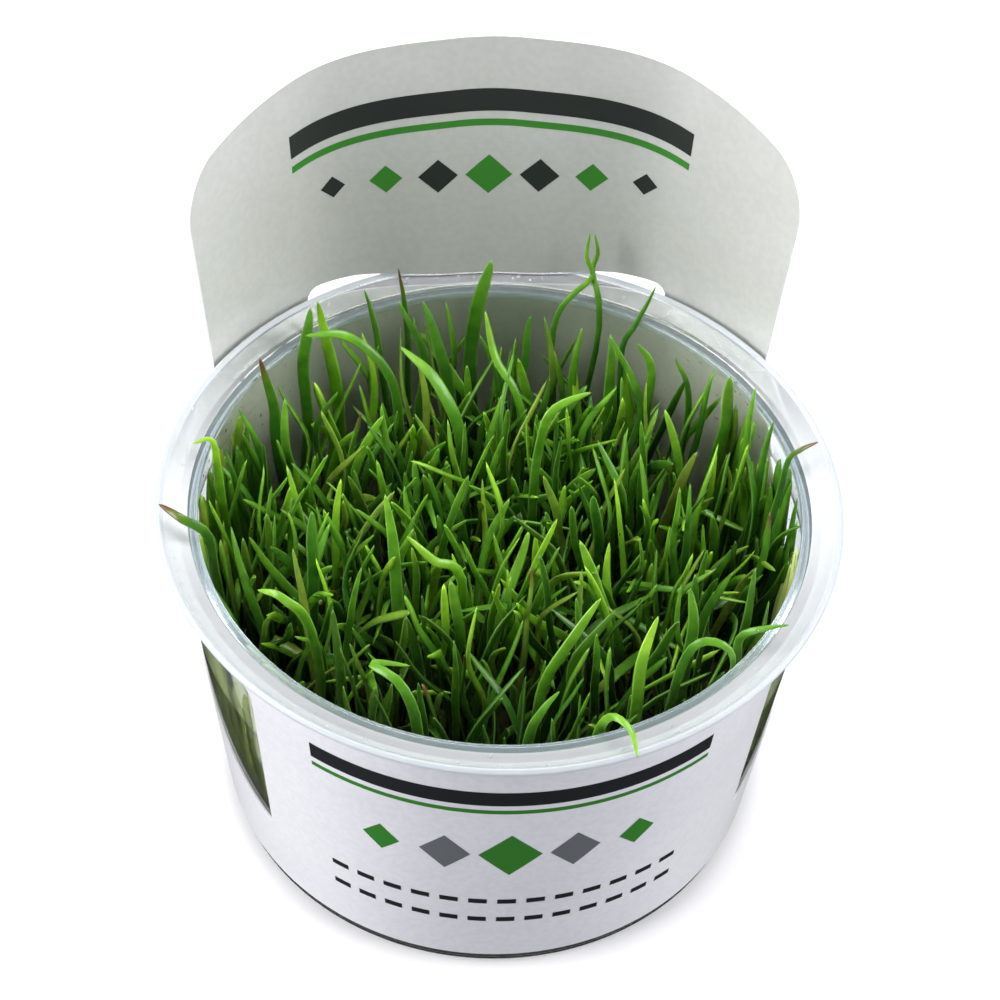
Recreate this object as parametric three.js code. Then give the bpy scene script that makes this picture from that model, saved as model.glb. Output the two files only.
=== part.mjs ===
// Lilaeopsis grown from tissue culture: a clear flanged cup in a card sleeve,
// a layer of nutrient gel, and plantlets of narrow strap leaves standing in the gel.
// Millimetres, +Z up. The cup's base rests on z = 0 and the sleeve's front panel faces -Y.

import * as THREE from 'three';

// Cup
const CUP_HEIGHT = 60;
const BASE_RADIUS = 41.8;
const WALL_SLOPE = 0.0955;
const BORE_SLOPE = 0.086;
const FLOOR_THICKNESS = 1;
const FLANGE_RADIUS = 50.2;
const FLANGE_THICKNESS = 0.9;
const FLANGE_DISH = 1.9;
const FLANGE_LIP = 1.3;
const LID_SEAT_RADIUS = 45.9;
const MOUTH_RADIUS = 44.6;
const CUP_SIDES = 40;

// Card sleeve; its angles are in degrees from the front for the low parts and from the back for the panel
const CARD_THICKNESS = 0.4;
const CARD_GAP = 0.35;
const CARD_BOTTOM = 3;
const CARD_TOP = CUP_HEIGHT - 3.4;
const FRONT_PANEL_EDGE = 52.5;
const WINDOW_LOW = 17;
const WINDOW_CURVE = 1.2;
const BACK_PANEL_EDGE = 56.3;
const BACK_PANEL_TOP = 102.5;
const BACK_PANEL_ARCH = 0.0034;
const BACK_PANEL_CORNER = 7;
const SLOT_END = 33.5;
const CARD_FLARE = 3.3;
const FLARE_FROM = 40;

// Nutrient gel
const GEL_TOP = 14;
const GEL_GAP = 0.35;
const GEL_SIDES = 32;

// Plantlets
const PLANTLETS = 56;
const ROOTING_RADIUS = 36;
const ROOTING_SPACING = 7.6;
const CROWN_HEIGHT = 2.2;
const CROWN_RADIUS = 2;
const FOOT_REACH = 1.4;
const LEAVES_EACH = 5;
const LEAF_TRIES = 24;
const LEAF_GAP = 0.35;
const LEAF_STATIONS = 24;
const FOOT_STATIONS = 3;
const BLADE_THICKNESS = 0.55;
const SOIL_GAP = 0.3;
const FRONTWARD = [0, -0.67, 0.74];

const CROWN_TOP = GEL_TOP + SOIL_GAP + CROWN_HEIGHT;
const SECTORS = Array.from({ length: LEAVES_EACH }, (_, k) => k);

const GRID_PER_MM = 64;

const radians = THREE.MathUtils.degToRad;

function smooth(t) {
  const clamped = Math.min(1, Math.max(0, t));
  return clamped * clamped * (3 - 2 * clamped);
}

function wallRadius(z) {
  return BASE_RADIUS + WALL_SLOPE * z;
}

function boreRadius(z) {
  return BASE_RADIUS - 1 + BORE_SLOPE * z;
}

// Height of the flange's dished top, which falls from its outer edge to the lid's seat
function flangeTop(radius) {
  const inwards = (FLANGE_RADIUS - radius) / (FLANGE_RADIUS - LID_SEAT_RADIUS);
  return CUP_HEIGHT - FLANGE_DISH * Math.min(1, Math.max(0, inwards));
}

// Cup: one turned wall, with a flange that dishes inwards to the lid's seat

function cupGeometry() {
  const top = CUP_HEIGHT;
  const seat = top - FLANGE_DISH;
  const under = seat - FLANGE_THICKNESS;
  const profile = [
    [0, 0],
    [BASE_RADIUS - 0.5, 0],
    [wallRadius(0.6), 0.6],
    [wallRadius(under - 0.4), under - 0.4],
    [wallRadius(under) + 0.3, under],
    [FLANGE_RADIUS - 0.3, top - FLANGE_LIP],
    [FLANGE_RADIUS, top - FLANGE_LIP + 0.3],
    [FLANGE_RADIUS, top - 0.4],
    [FLANGE_RADIUS - 0.5, top],
    [LID_SEAT_RADIUS, seat],
    [MOUTH_RADIUS + 0.3, seat - 0.1],
    [MOUTH_RADIUS, seat - 0.4],
    [MOUTH_RADIUS, seat - 1.2],
    [boreRadius(seat - 2.4), seat - 2.4],
    [boreRadius(FLOOR_THICKNESS + 1.2), FLOOR_THICKNESS + 1.2],
    [BASE_RADIUS - 2.4, FLOOR_THICKNESS],
    [0, FLOOR_THICKNESS],
  ];
  const points = profile.map(([r, z]) => new THREE.Vector2(r, z));
  return turned(points, CUP_SIDES);
}

// A profile of radius and height, turned about the Z axis
function turned(points, sides) {
  return new THREE.LatheGeometry(points, sides).rotateX(Math.PI / 2);
}

// Card sleeve: a cone of thin card with a front panel, a low band, and a tall arched back panel

function cardFlare(fromBack, z) {
  const outside = smooth((fromBack - 6) / 26);
  const fading = 1 - smooth((fromBack - BACK_PANEL_EDGE) / 32);
  return CARD_FLARE * outside * fading * smooth((z - FLARE_FROM) / (CARD_TOP - FLARE_FROM));
}

function cardRadius(fromFront, z) {
  return wallRadius(z) + CARD_GAP + cardFlare(180 - fromFront, z);
}

function bandTop(fromFront) {
  if (fromFront < FRONT_PANEL_EDGE) {
    return CARD_TOP;
  }
  const window = (fromFront - FRONT_PANEL_EDGE) / (180 - BACK_PANEL_EDGE - FRONT_PANEL_EDGE);
  return WINDOW_LOW + (CARD_TOP - WINDOW_LOW) * Math.min(1, window) ** WINDOW_CURVE;
}

function panelTop(fromBack) {
  const arch = BACK_PANEL_TOP - BACK_PANEL_ARCH * fromBack ** 2;
  const cornerDegrees = THREE.MathUtils.radToDeg(BACK_PANEL_CORNER / cardRadius(120, arch));
  const corner = Math.max(0, (fromBack - BACK_PANEL_EDGE + cornerDegrees) / cornerDegrees);
  return arch - BACK_PANEL_CORNER * (1 - Math.sqrt(Math.max(0, 1 - corner ** 2)));
}

// The panel's foot: the slot's upper edge, just over the flange, and the same height beside it
function panelFoot(fromFront) {
  return flangeTop(cardRadius(fromFront, CUP_HEIGHT)) + 0.4;
}

function steps(from, to, count) {
  return Array.from({ length: count }, (_, i) => from + ((to - from) * i) / count);
}

// Angles of the card's columns, from the front round to the back on one side
function halfColumns() {
  const panelEdge = 180 - BACK_PANEL_EDGE;
  return [
    ...steps(0, FRONT_PANEL_EDGE - 0.2, 8),
    FRONT_PANEL_EDGE - 0.2,
    ...steps(FRONT_PANEL_EDGE + 0.2, panelEdge, 10),
    ...steps(panelEdge, panelEdge + 8, 4),
    ...steps(panelEdge + 8, 180 - SLOT_END, 3),
    ...steps(180 - SLOT_END, 180, 6),
  ];
}

// Every column as its angle from the front, its side, and the heights of its rows
function cardColumns() {
  const half = halfColumns();
  const right = half.map((fromFront) => ({ fromFront, side: 1 }));
  const left = half.slice(1).reverse().map((fromFront) => ({ fromFront, side: -1 }));
  const columns = [...right, { fromFront: 180, side: 1 }, ...left];
  return columns.map((column) => {
    const { fromFront } = column;
    const top = bandTop(fromFront);
    const bend = CARD_BOTTOM + 0.7 * (top - CARD_BOTTOM);
    const panel = [panelFoot(fromFront), panelTop(180 - fromFront)];
    return { ...column, heights: [CARD_BOTTOM, bend, top, ...panel] };
  });
}

// Whether the card fills the cell above row k between two neighbouring columns
function cardFills(k, a, b) {
  const nearFront = Math.min(a.fromFront, b.fromFront);
  if (k < 2) {
    return true;
  }
  const onPanel = nearFront > 180 - BACK_PANEL_EDGE - 0.01;
  if (k === 2) {
    return onPanel && Math.max(a.fromFront, b.fromFront) < 180 - SLOT_END + 0.01;
  }
  return onPanel;
}

function cardGeometry() {
  const columns = cardColumns();
  const rows = columns[0].heights.length;
  const positions = [];
  for (const { fromFront, side, heights } of columns) {
    const angle = radians(fromFront) * side;
    for (const z of heights) {
      const inner = cardRadius(fromFront, z);
      for (const r of [inner, inner + CARD_THICKNESS]) {
        positions.push(r * Math.sin(angle), -r * Math.cos(angle), z);
      }
    }
  }
  const vertex = (column, row, skin) => ((column % columns.length) * rows + row) * 2 + skin;
  const filled = (column, row) => {
    const a = columns[(column + columns.length) % columns.length];
    const b = columns[(column + 1 + columns.length) % columns.length];
    return row >= 0 && row < rows - 1 && cardFills(row, a, b);
  };
  const index = [];
  const quad = (a, b, c, d) => index.push(a, b, c, a, c, d);
  for (let i = 0; i < columns.length; i++) {
    for (let k = 0; k < rows - 1; k++) {
      if (!filled(i, k)) {
        continue;
      }
      quad(vertex(i, k, 1), vertex(i + 1, k, 1), vertex(i + 1, k + 1, 1), vertex(i, k + 1, 1));
      quad(vertex(i, k, 0), vertex(i, k + 1, 0), vertex(i + 1, k + 1, 0), vertex(i + 1, k, 0));
      if (!filled(i, k - 1)) {
        quad(vertex(i, k, 0), vertex(i + 1, k, 0), vertex(i + 1, k, 1), vertex(i, k, 1));
      }
      if (!filled(i, k + 1)) {
        quad(vertex(i, k + 1, 1), vertex(i + 1, k + 1, 1), vertex(i + 1, k + 1, 0), vertex(i, k + 1, 0));
      }
      if (!filled(i - 1, k)) {
        quad(vertex(i, k, 0), vertex(i, k, 1), vertex(i, k + 1, 1), vertex(i, k + 1, 0));
      }
      if (!filled(i + 1, k)) {
        quad(vertex(i + 1, k, 1), vertex(i + 1, k, 0), vertex(i + 1, k + 1, 0), vertex(i + 1, k + 1, 1));
      }
    }
  }
  const geometry = new THREE.BufferGeometry();
  geometry.setAttribute('position', new THREE.Float32BufferAttribute(positions, 3));
  geometry.setIndex(index);
  return geometry;
}

// Nutrient gel: a low disc that fills the bottom of the cup

function gelGeometry() {
  const low = FLOOR_THICKNESS + GEL_GAP;
  const profile = [
    [0, low],
    [BASE_RADIUS - 2.8, low],
    [boreRadius(low + 1.4) - GEL_GAP, low + 1.4],
    [boreRadius(GEL_TOP + 0.8) - GEL_GAP, GEL_TOP + 0.6],
    [boreRadius(GEL_TOP) - 2.4, GEL_TOP],
    [0, GEL_TOP],
  ];
  const points = profile.map(([r, z]) => new THREE.Vector2(r, z));
  return turned(points, GEL_SIDES);
}

// Leaves that stand out in a plantlet of their own: its crown, then each leaf's width and
// the points that it passes through on the way to the tip, with heights from the cup's rim
const STANDING_OUT = [
  { crown: [-37, -4], leaves: [[2.4, [-42, -5, -13], [-42.5, -6.5, -1], [-46, -6.5, 2.8], [-49.5, -3, 2]]] },
  { crown: [-37, 6], leaves: [[2.2, [-41, 9, -15], [-41.5, 9.5, -6], [-42, 9.3, 2], [-45, 8.8, 2]]] },
  { crown: [-33, 17], leaves: [[2, [-35, 20, -15], [-38.5, 20.5, -3]], [1.8, [-38.5, 12, -14], [-40.5, 12.5, -3]]] },
  { crown: [-29, 23], leaves: [[2.8, [-33, 24, -15], [-33.5, 25, -7], [-35.3, 26, 2.5]],
    [3, [-28.5, 30, -15], [-28.5, 31.5, -3], [-27.5, 33, 6]]] },
  { crown: [-20, 27], leaves: [[3.2, [-24, 33, -11], [-25, 34.5, -3], [-26.5, 36, 4.5]]] },
  { crown: [-13, 24], leaves: [[2.4, [-14, 27, -13], [-16, 28.5, -3], [-22, 30.2, 2.5], [-28.5, 31, 2]]] },
  { crown: [-12, 33], leaves: [[1.8, [-16.5, 37, -11], [-17.5, 38, -3], [-19.3, 38.5, 4.5]],
    [1.6, [-12.5, 39, -11], [-13, 40, 0], [-14, 41, 6.5]], [2.2, [-9.5, 36, -13], [-14, 38, 2.5]]] },
  { crown: [-4, 20], leaves: [[3.2, [-4.5, 22.5, -15], [-8, 25, -3], [-14, 29, 1.5]]] },
  { crown: [-5, 30], leaves: [[3.2, [-6, 34, -15], [-8, 35.7, -4], [-10.4, 36.8, 3.5]]] },
  { crown: [-1, 35], leaves: [[3.6, [-2.5, 39, -17], [-1.5, 40, -2], [0.4, 41, 8]]] },
  { crown: [5, 24], leaves: [[2.2, [5, 27.5, -13], [1, 32, -4], [-0.8, 35, 3]]] },
  { crown: [6, 33], leaves: [[2, [5.7, 36, -9], [6.4, 36.8, 0]]] },
  { crown: [13, 34], leaves: [[1.5, [10.5, 38.5, -14], [11, 39.5, -4], [13, 40.2, 0.5], [16.2, 41.7, 3.5],
    [15.1, 42.5, 7], [15.6, 43.6, 11.5]],
  [1.5, [17, 39, -12], [17.3, 40, -0.5], [16.4, 43, 3.5], [17.1, 43.8, 6.5], [16.4, 44.6, 10]]] },
  { crown: [15, 26], leaves: [[2.2, [13.5, 34, -12], [14.3, 34.6, -0.5]], [2.8, [19, 32, -11], [18.6, 32.7, -0.5]]] },
  { crown: [22, 29], leaves: [[1.5, [21, 36, -11], [23, 36.5, -2], [25.6, 37, 6]],
    [2.4, [24.8, 29, -15], [25, 30, -5], [22.6, 31, -0.5]]] },
  { crown: [28, 22], leaves: [[1.8, [31, 27.5, -11], [28.3, 27.8, -0.5]], [1.6, [33, 24.5, -7], [34.2, 26, -1.5]]] },
  { crown: [34, 14], leaves: [[3, [35, 21, -21], [36, 22.5, -10], [36.3, 23.8, -0.5]],
    [1.8, [38.5, 17, -15], [38.6, 17.6, -4], [39.3, 18.6, 2.5]]] },
  { crown: [37, 6], leaves: [[2, [40.6, 12, -9], [41.6, 13.2, 0.5]],
    [1.8, [41, 3, -15], [42, 4, -6], [42.5, 4.2, 1.5], [44.5, 5, 3], [47.4, 7, 2.4]]] },
  { crown: [6, 8], leaves: [[2.4, [6.3, 11.5, -17], [6.3, 13, -5], [8, 13.8, 2.5], [14.4, 16.8, 3.5]]] },
  { crown: [-26, -16], leaves: [[2.4, [-27.5, -19, -9], [-31.5, -19.5, 0], [-35.4, -16.5, -1.5]]] },
  { crown: [-27, -6], leaves: [[3, [-27.7, -5.6, -17], [-27.5, -4.3, 1.5]]] },
  { crown: [-14, -11], leaves: [[3, [-15, -10.5, -23], [-15.5, -6.5, -7], [-17, -3, 3.5]]] },
  { crown: [-4, -9], leaves: [[2.4, [-6, -8.2, -11], [-10, -9.3, -4], [-14, -9, 1]]] },
  { crown: [-12, -33], leaves: [[2.6, [-12.6, -35.8, -13], [-15.5, -35, -1], [-19.5, -31, -0.5], [-14, -30.3, -2]]] },
  { crown: [8, -34], leaves: [[2.4, [11, -40, -10], [11.5, -42, -1], [13, -43.7, 3], [15, -46.5, 3.3],
    [15.8, -49.5, 1.4]]] },
  { crown: [17, -28], leaves: [[3, [18, -31, -15], [18.3, -29.3, -4], [20.6, -25.8, 2.5]]] },
  { crown: [25, -21], leaves: [[2.8, [26, -22, -17], [26.5, -21.4, -5], [25.7, -20, 1.5]],
    [2.2, [23, -29.6, -13], [24.5, -29, -3], [27, -29.5, 1], [30.5, -30.2, -0.5], [31.4, -30.8, -7]]] },
  { crown: [32, -18], leaves: [[2.4, [32, -27.2, -9], [32, -28, 0], [35.5, -28.8, 3], [38.6, -28.5, 3.3]],
    [2.4, [35.5, -15.5, -16], [36, -14, -1.5]]] },
  { crown: [4, -24], leaves: [[2.6, [4.5, -27, -21], [5.5, -25.5, -12], [9.5, -23.7, -4], [13, -21.5, 1.5]]] },
  { crown: [1, -34], leaves: [[2.6, [2.5, -37.3, -12], [4, -37.3, -4], [6.3, -36, -1]]] },
];

// Seeded numbers from 0 to 1, the same on every run
function seeded(seed) {
  let state = seed;
  return () => {
    state = (state * 16807) % 2147483647;
    return state / 2147483647;
  };
}

const random = seeded(4024);

function between(low, high) {
  return low + (high - low) * random();
}

// Crowns are scattered over the gel, no nearer to each other than the rooting space
function scatterCrowns() {
  const plantlets = STANDING_OUT.map(plantStanding);
  while (plantlets.length < PLANTLETS) {
    const radius = ROOTING_RADIUS * Math.sqrt(random());
    const angle = 2 * Math.PI * random();
    const crown = [radius * Math.cos(angle), radius * Math.sin(angle)];
    const clear = plantlets.every(
      (other) => Math.hypot(crown[0] - other.crown[0], crown[1] - other.crown[1]) > ROOTING_SPACING,
    );
    if (clear) {
      plantlets.push({ crown, turn: angle, leaves: [] });
    }
  }
  return plantlets;
}

// A crown is shared out in equal sectors, one to a leaf: the angle of a sector's middle
function sectorAngle({ turn }, sector) {
  return turn + (2 * Math.PI * sector) / LEAVES_EACH;
}

// The free sector whose middle is nearest to a heading
function nearestSector(plantlet, heading) {
  const free = SECTORS.filter((sector) => !plantlet.leaves[sector]);
  const nearness = (sector) => Math.cos(sectorAngle(plantlet, sector) - heading);
  return free.reduce((best, sector) => (nearness(sector) > nearness(best) ? sector : best));
}

function plantStanding({ crown, leaves }) {
  const headings = leaves.map(([, first]) => Math.atan2(first[1] - crown[1], first[0] - crown[0]));
  const plantlet = { crown, turn: headings[0], leaves: [] };
  leaves.forEach(([width, ...points], i) => {
    const sector = nearestSector(plantlet, headings[i]);
    const bends = points.map(([x, y, z]) => new THREE.Vector3(x, y, CUP_HEIGHT + z));
    const route = [leafFoot(plantlet, sector), ...bends];
    plantlet.leaves[sector] = makeLeaf(route, width, new THREE.Vector3(...FRONTWARD));
  });
  return plantlet;
}

function leafFoot(plantlet, sector) {
  const [x, y] = plantlet.crown;
  const angle = sectorAngle(plantlet, sector);
  return new THREE.Vector3(x + FOOT_REACH * Math.cos(angle), y + FOOT_REACH * Math.sin(angle), CROWN_TOP);
}

// A leaf that grows in a direction of its own: it leans, then bows over more towards the tip
function grownLeaf(plantlet, sector) {
  const heading = sectorAngle(plantlet, sector) + between(-0.5, 0.5);
  const length = between(27, 45);
  const lean = between(0.02, 0.2);
  const bow = between(0, 0.3) * random();
  const sway = between(-1.2, 1.2);
  const facing = between(-1.3, 1.3);
  const width = between(1.5, 2.7);
  const foot = leafFoot(plantlet, sector);
  const ahead = new THREE.Vector3(Math.cos(heading), Math.sin(heading), 0);
  const aside = new THREE.Vector3(-ahead.y, ahead.x, 0);
  const route = [0, 0.35, 0.7, 1].map((u) => {
    const up = new THREE.Vector3(0, 0, length * (u - 0.6 * bow * u ** 3));
    return up
      .add(foot)
      .addScaledVector(ahead, length * (lean * u + bow * u ** 3))
      .addScaledVector(aside, sway * Math.sin(Math.PI * u));
  });
  const front = new THREE.Vector3(Math.sin(facing), -Math.cos(facing), 0.3).normalize();
  return makeLeaf(route, width, front);
}

function makeLeaf(route, width, front) {
  const curve = new THREE.CatmullRomCurve3(route, false, 'catmullrom', 0.5);
  const stations = Array.from({ length: LEAF_STATIONS + 1 }, (_, i) => {
    const u = i / LEAF_STATIONS;
    return { point: curve.getPoint(u), reach: 0.5 * bladeWidth(width, u) };
  });
  return { curve, width, front, stations, bends: route.length };
}

// Narrow at the foot, broadest above the middle, then drawn to a point
function bladeWidth(width, u) {
  return width * Math.min(0.3 + 1.5 * u, 1, 4 * (1 - u));
}

// Thick and rounded at the foot, thin from the middle upwards
function bladeThickness(u) {
  return BLADE_THICKNESS * (1 + Math.max(0, 1 - 2 * u));
}

function insideCup({ stations }) {
  return stations.every(({ point, reach }) => {
    const open = point.z > CUP_HEIGHT - 4 ? MOUTH_RADIUS : boreRadius(point.z);
    return Math.hypot(point.x, point.y) + reach + 2 * LEAF_GAP < open;
  });
}

// Whether two leaves stay apart over their length, or only above their feet on one crown
function keepsClear(leaf, other, sameCrown) {
  const first = sameCrown ? FOOT_STATIONS : 0;
  return leaf.stations.slice(first).every((a) =>
    other.stations.slice(first).every((b) => a.point.distanceTo(b.point) > a.reach + b.reach + LEAF_GAP),
  );
}

// Leaves come up in rounds, one to a plantlet, each where it meets no other leaf
function growLeaves(plantlets) {
  for (const sector of SECTORS) {
    for (const plantlet of plantlets) {
      for (let attempt = 0; attempt < LEAF_TRIES && !plantlet.leaves[sector]; attempt++) {
        const leaf = grownLeaf(plantlet, sector);
        const clear = plantlets.every((other) =>
          other.leaves.every((grown) => keepsClear(leaf, grown, other === plantlet)),
        );
        if (clear && insideCup(leaf)) {
          plantlet.leaves[sector] = leaf;
        }
      }
    }
  }
}

// The three corners of a leaf at one station: flat in front and keeled behind
function leafRing({ curve, width, front }, u) {
  const point = curve.getPoint(u);
  const along = curve.getTangent(u);
  const across = new THREE.Vector3().crossVectors(along, front).normalize();
  const forward = new THREE.Vector3().crossVectors(across, along);
  const half = 0.5 * bladeWidth(width, u);
  return [
    point.clone().addScaledVector(across, -half),
    point.clone().addScaledVector(across, half),
    point.clone().addScaledVector(forward, -bladeThickness(u)),
  ];
}

// The same three corners, started at the one that twists least from the ring below
function untwisted(ring, below) {
  const turns = [0, 1, 2].map((k) => [ring[k], ring[(k + 1) % 3], ring[(k + 2) % 3]]);
  const twist = (turn) => turn.reduce((sum, corner, k) => sum + corner.distanceTo(below[k]), 0);
  return turns.reduce((best, turn) => (twist(turn) < twist(best) ? turn : best));
}

// One closed solid: a pointed crown, with a leaf on each sector of its top that has one
function plantletGeometry(plantlet) {
  const [x, y] = plantlet.crown;
  const corners = SECTORS.map((sector) => {
    const angle = sectorAngle(plantlet, sector - 0.5);
    const out = [x + CROWN_RADIUS * Math.cos(angle), y + CROWN_RADIUS * Math.sin(angle)];
    return new THREE.Vector3(...out, CROWN_TOP - 0.5);
  });
  const middle = new THREE.Vector3(x, y, CROWN_TOP);
  const root = new THREE.Vector3(x, y, GEL_TOP + SOIL_GAP);
  const triangles = [];
  for (const sector of SECTORS) {
    const corner = corners[sector];
    const next = corners[(sector + 1) % LEAVES_EACH];
    triangles.push(root, next, corner);
    const leaf = plantlet.leaves[sector];
    if (leaf) {
      triangles.push(...leafTriangles(leaf, [corner, next, middle]));
    } else {
      triangles.push(corner, next, middle);
    }
  }
  return new THREE.BufferGeometry().setFromPoints(triangles);
}

// One side of a leaf between two rings, split along its shorter diagonal
function band(ring, above, side, after) {
  if (ring[side].distanceTo(above[after]) < ring[after].distanceTo(above[side])) {
    return [ring[side], ring[after], above[after], ring[side], above[after], above[side]];
  }
  return [ring[side], ring[after], above[side], ring[after], above[after], above[side]];
}

// A leaf's skin, from the three corners that it stands on to its tip
function leafTriangles(leaf, base) {
  const triangles = [];
  const tip = leaf.curve.getPoint(1);
  let ring = base;
  for (let k = 1; k <= leaf.bends; k++) {
    const above = untwisted(leafRing(leaf, k / (leaf.bends + 1)), ring);
    for (const side of [0, 1, 2]) {
      triangles.push(...band(ring, above, side, (side + 1) % 3));
    }
    ring = above;
  }
  for (const side of [0, 1, 2]) {
    triangles.push(ring[side], ring[(side + 1) % 3], tip);
  }
  return triangles;
}

const CLEAR_PLASTIC = new THREE.MeshStandardMaterial({
  color: 0xe9f1f2, roughness: 0.12, metalness: 0, transparent: true, opacity: 0.35,
});
const WHITE_CARD = new THREE.MeshStandardMaterial({ color: 0xe8e8ee, roughness: 0.6, metalness: 0 });
const OLIVE_GEL = new THREE.MeshStandardMaterial({ color: 0x5f6a3a, roughness: 0.2, metalness: 0 });
const LEAF_GREENS = [0x3e8a1e, 0x6fa51e, 0x2c6e18].map(
  (color) => new THREE.MeshStandardMaterial({ color, roughness: 0.35, metalness: 0 }),
);

const group = new THREE.Group();

// Corners lie on a fine grid, whose numbers are exact, so neighbouring faces meet exactly
function onGrid(geometry) {
  const { array } = geometry.attributes.position;
  for (let i = 0; i < array.length; i++) {
    array[i] = Math.round(array[i] * GRID_PER_MM) / GRID_PER_MM;
  }
  return geometry;
}

function addPiece(name, geometry, material) {
  const mesh = new THREE.Mesh(onGrid(geometry), material);
  mesh.name = name;
  group.add(mesh);
}

addPiece('cup', cupGeometry(), CLEAR_PLASTIC);
addPiece('card_sleeve', cardGeometry(), WHITE_CARD);
addPiece('nutrient_gel', gelGeometry(), OLIVE_GEL);

const plantlets = scatterCrowns();
growLeaves(plantlets);
plantlets.forEach((plantlet, i) => {
  const name = `plantlet_${String(i + 1).padStart(2, '0')}`;
  addPiece(name, plantletGeometry(plantlet), LEAF_GREENS[i % LEAF_GREENS.length]);
});

export default group;
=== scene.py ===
# %% [markdown]
# # Lilaeopsis grown from tissue culture, in its cup
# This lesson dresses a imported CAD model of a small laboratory-grown plant: a clear plastic cup with
# a flange, a white card sleeve round it, a layer of nutrient gel, and a dense stand of strap leaves.
# The CAD part gives the sizes and places. Here each piece gets its fine shape and its finish.

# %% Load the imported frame
import math

import bpy
import numpy as np
from mathutils import Matrix, Vector


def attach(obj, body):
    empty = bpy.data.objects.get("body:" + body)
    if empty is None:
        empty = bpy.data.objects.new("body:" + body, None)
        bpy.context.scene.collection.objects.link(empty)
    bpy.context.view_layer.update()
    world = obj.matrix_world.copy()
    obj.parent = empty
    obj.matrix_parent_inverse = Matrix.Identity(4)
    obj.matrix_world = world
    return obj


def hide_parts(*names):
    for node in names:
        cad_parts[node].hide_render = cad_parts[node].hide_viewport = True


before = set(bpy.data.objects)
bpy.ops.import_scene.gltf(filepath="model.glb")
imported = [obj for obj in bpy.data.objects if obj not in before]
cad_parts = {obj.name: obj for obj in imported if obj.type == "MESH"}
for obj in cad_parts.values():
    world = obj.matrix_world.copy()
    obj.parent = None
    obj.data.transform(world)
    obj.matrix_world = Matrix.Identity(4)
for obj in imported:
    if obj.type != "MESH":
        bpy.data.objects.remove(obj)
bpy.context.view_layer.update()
MM = 0.001
print("CAD nodes:", len(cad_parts))

# %% [markdown]
# ## Working by hand, in code
# An operator acts on whatever is selected, so each step starts with nothing selected. A finished
# piece keeps its object at the origin, so that its place is in its mesh, as in the CAD part.

# %% Small helpers for every piece
WELD, CREASE = 1e-6, math.radians(40)


def nothing_selected():
    if bpy.context.object and bpy.context.object.mode != "OBJECT":
        bpy.ops.object.mode_set(mode="OBJECT")
    bpy.ops.object.select_all(action="DESELECT")


def only(piece):
    nothing_selected()
    piece.select_set(True)
    bpy.context.view_layer.objects.active = piece


def settle(piece, name, material):
    """Name the piece, put its place into its mesh, and give it its material."""
    only(piece)
    bpy.ops.object.transform_apply(location=True, rotation=True, scale=True)
    piece.name = piece.data.name = name
    piece.data.materials.clear()
    piece.data.materials.append(material)
    return piece


def edit_all(piece, *operators):
    """Run mesh operators, each with its settings, on the whole of a piece."""
    only(piece)
    bpy.ops.object.mode_set(mode="EDIT")
    bpy.ops.mesh.select_all(action="SELECT")
    for operator, settings in operators:
        operator(**settings)
    bpy.ops.object.mode_set(mode="OBJECT")


def from_points(name, vertices, faces, *materials):
    """A piece straight from its points in mm, where the shapes are too many to model by hand."""
    mesh = bpy.data.meshes.new(name)
    mesh.from_pydata((np.asarray(vertices) * MM).tolist(), [], faces)
    for material in materials:
        mesh.materials.append(material)
    piece = bpy.data.objects.new(name, mesh)
    bpy.context.scene.collection.objects.link(piece)
    return piece


def triangles(piece):
    return sum(len(p.vertices) - 2 for p in piece.data.polygons)


# %% [markdown]
# ## Materials as small node graphs
# Every finish starts from a Principled shader. Its plain values are set on the shader itself, and
# only what varies over the surface comes in through nodes.

# %% A material and its nodes
def principled(name, **values):
    material = bpy.data.materials.new(name)
    material.use_nodes = True
    shader = material.node_tree.nodes["Principled BSDF"]
    for key, value in values.items():
        shader.inputs[key.replace("_", " ")].default_value = value
    print("material", name)
    return material, material.node_tree, shader


def node(tree, kind, inputs=None, **settings):
    made = tree.nodes.new(kind)
    for key, value in settings.items():
        setattr(made, key, value)
    for key, value in (inputs or {}).items():
        if isinstance(value, bpy.types.NodeSocket):
            tree.links.new(value, made.inputs[key])
        else:
            made.inputs[key].default_value = value
    return made


def ramp(tree, source, *stops):
    made = node(tree, "ShaderNodeValToRGB", {"Fac": source})
    points = made.color_ramp.elements
    points[0].position, points[0].color = stops[0][0], (*stops[0][1], 1)
    points[1].position, points[1].color = stops[-1][0], (*stops[-1][1], 1)
    for place, colour in stops[1:-1]:
        points.new(place).color = (*colour, 1)
    return made.outputs["Color"]


def colour_mix(tree, amount, first, second, blend="MIX"):
    made = node(tree, "ShaderNodeMix", data_type="RGBA", blend_type=blend)
    for slot, value in ((0, amount), (6, first), (7, second)):
        if isinstance(value, bpy.types.NodeSocket):
            tree.links.new(value, made.inputs[slot])
        else:
            made.inputs[slot].default_value = value if slot == 0 else (*value, 1)
    return made.outputs[2]


def times(tree, first, second):
    return colour_mix(tree, 1.0, first, second, "MULTIPLY")


# %% Noise, ranges and bumps
def noise(tree, scale, detail, distortion=0):
    """Noise over the piece's own places, so its grain is the same size on every piece."""
    inputs = {"Vector": node(tree, "ShaderNodeTexCoord").outputs["Object"], "Scale": scale, "Detail": detail,
              "Distortion": distortion}
    return node(tree, "ShaderNodeTexNoise", inputs).outputs["Fac"]


def mapped(tree, value, **ends):
    """A value taken from one range, from_min to from_max, to another, to_min to to_max."""
    inputs = {key.replace("_", " ").title(): end for key, end in ends.items()}
    return node(tree, "ShaderNodeMapRange", {"Value": value, **inputs}).outputs["Result"]


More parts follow.
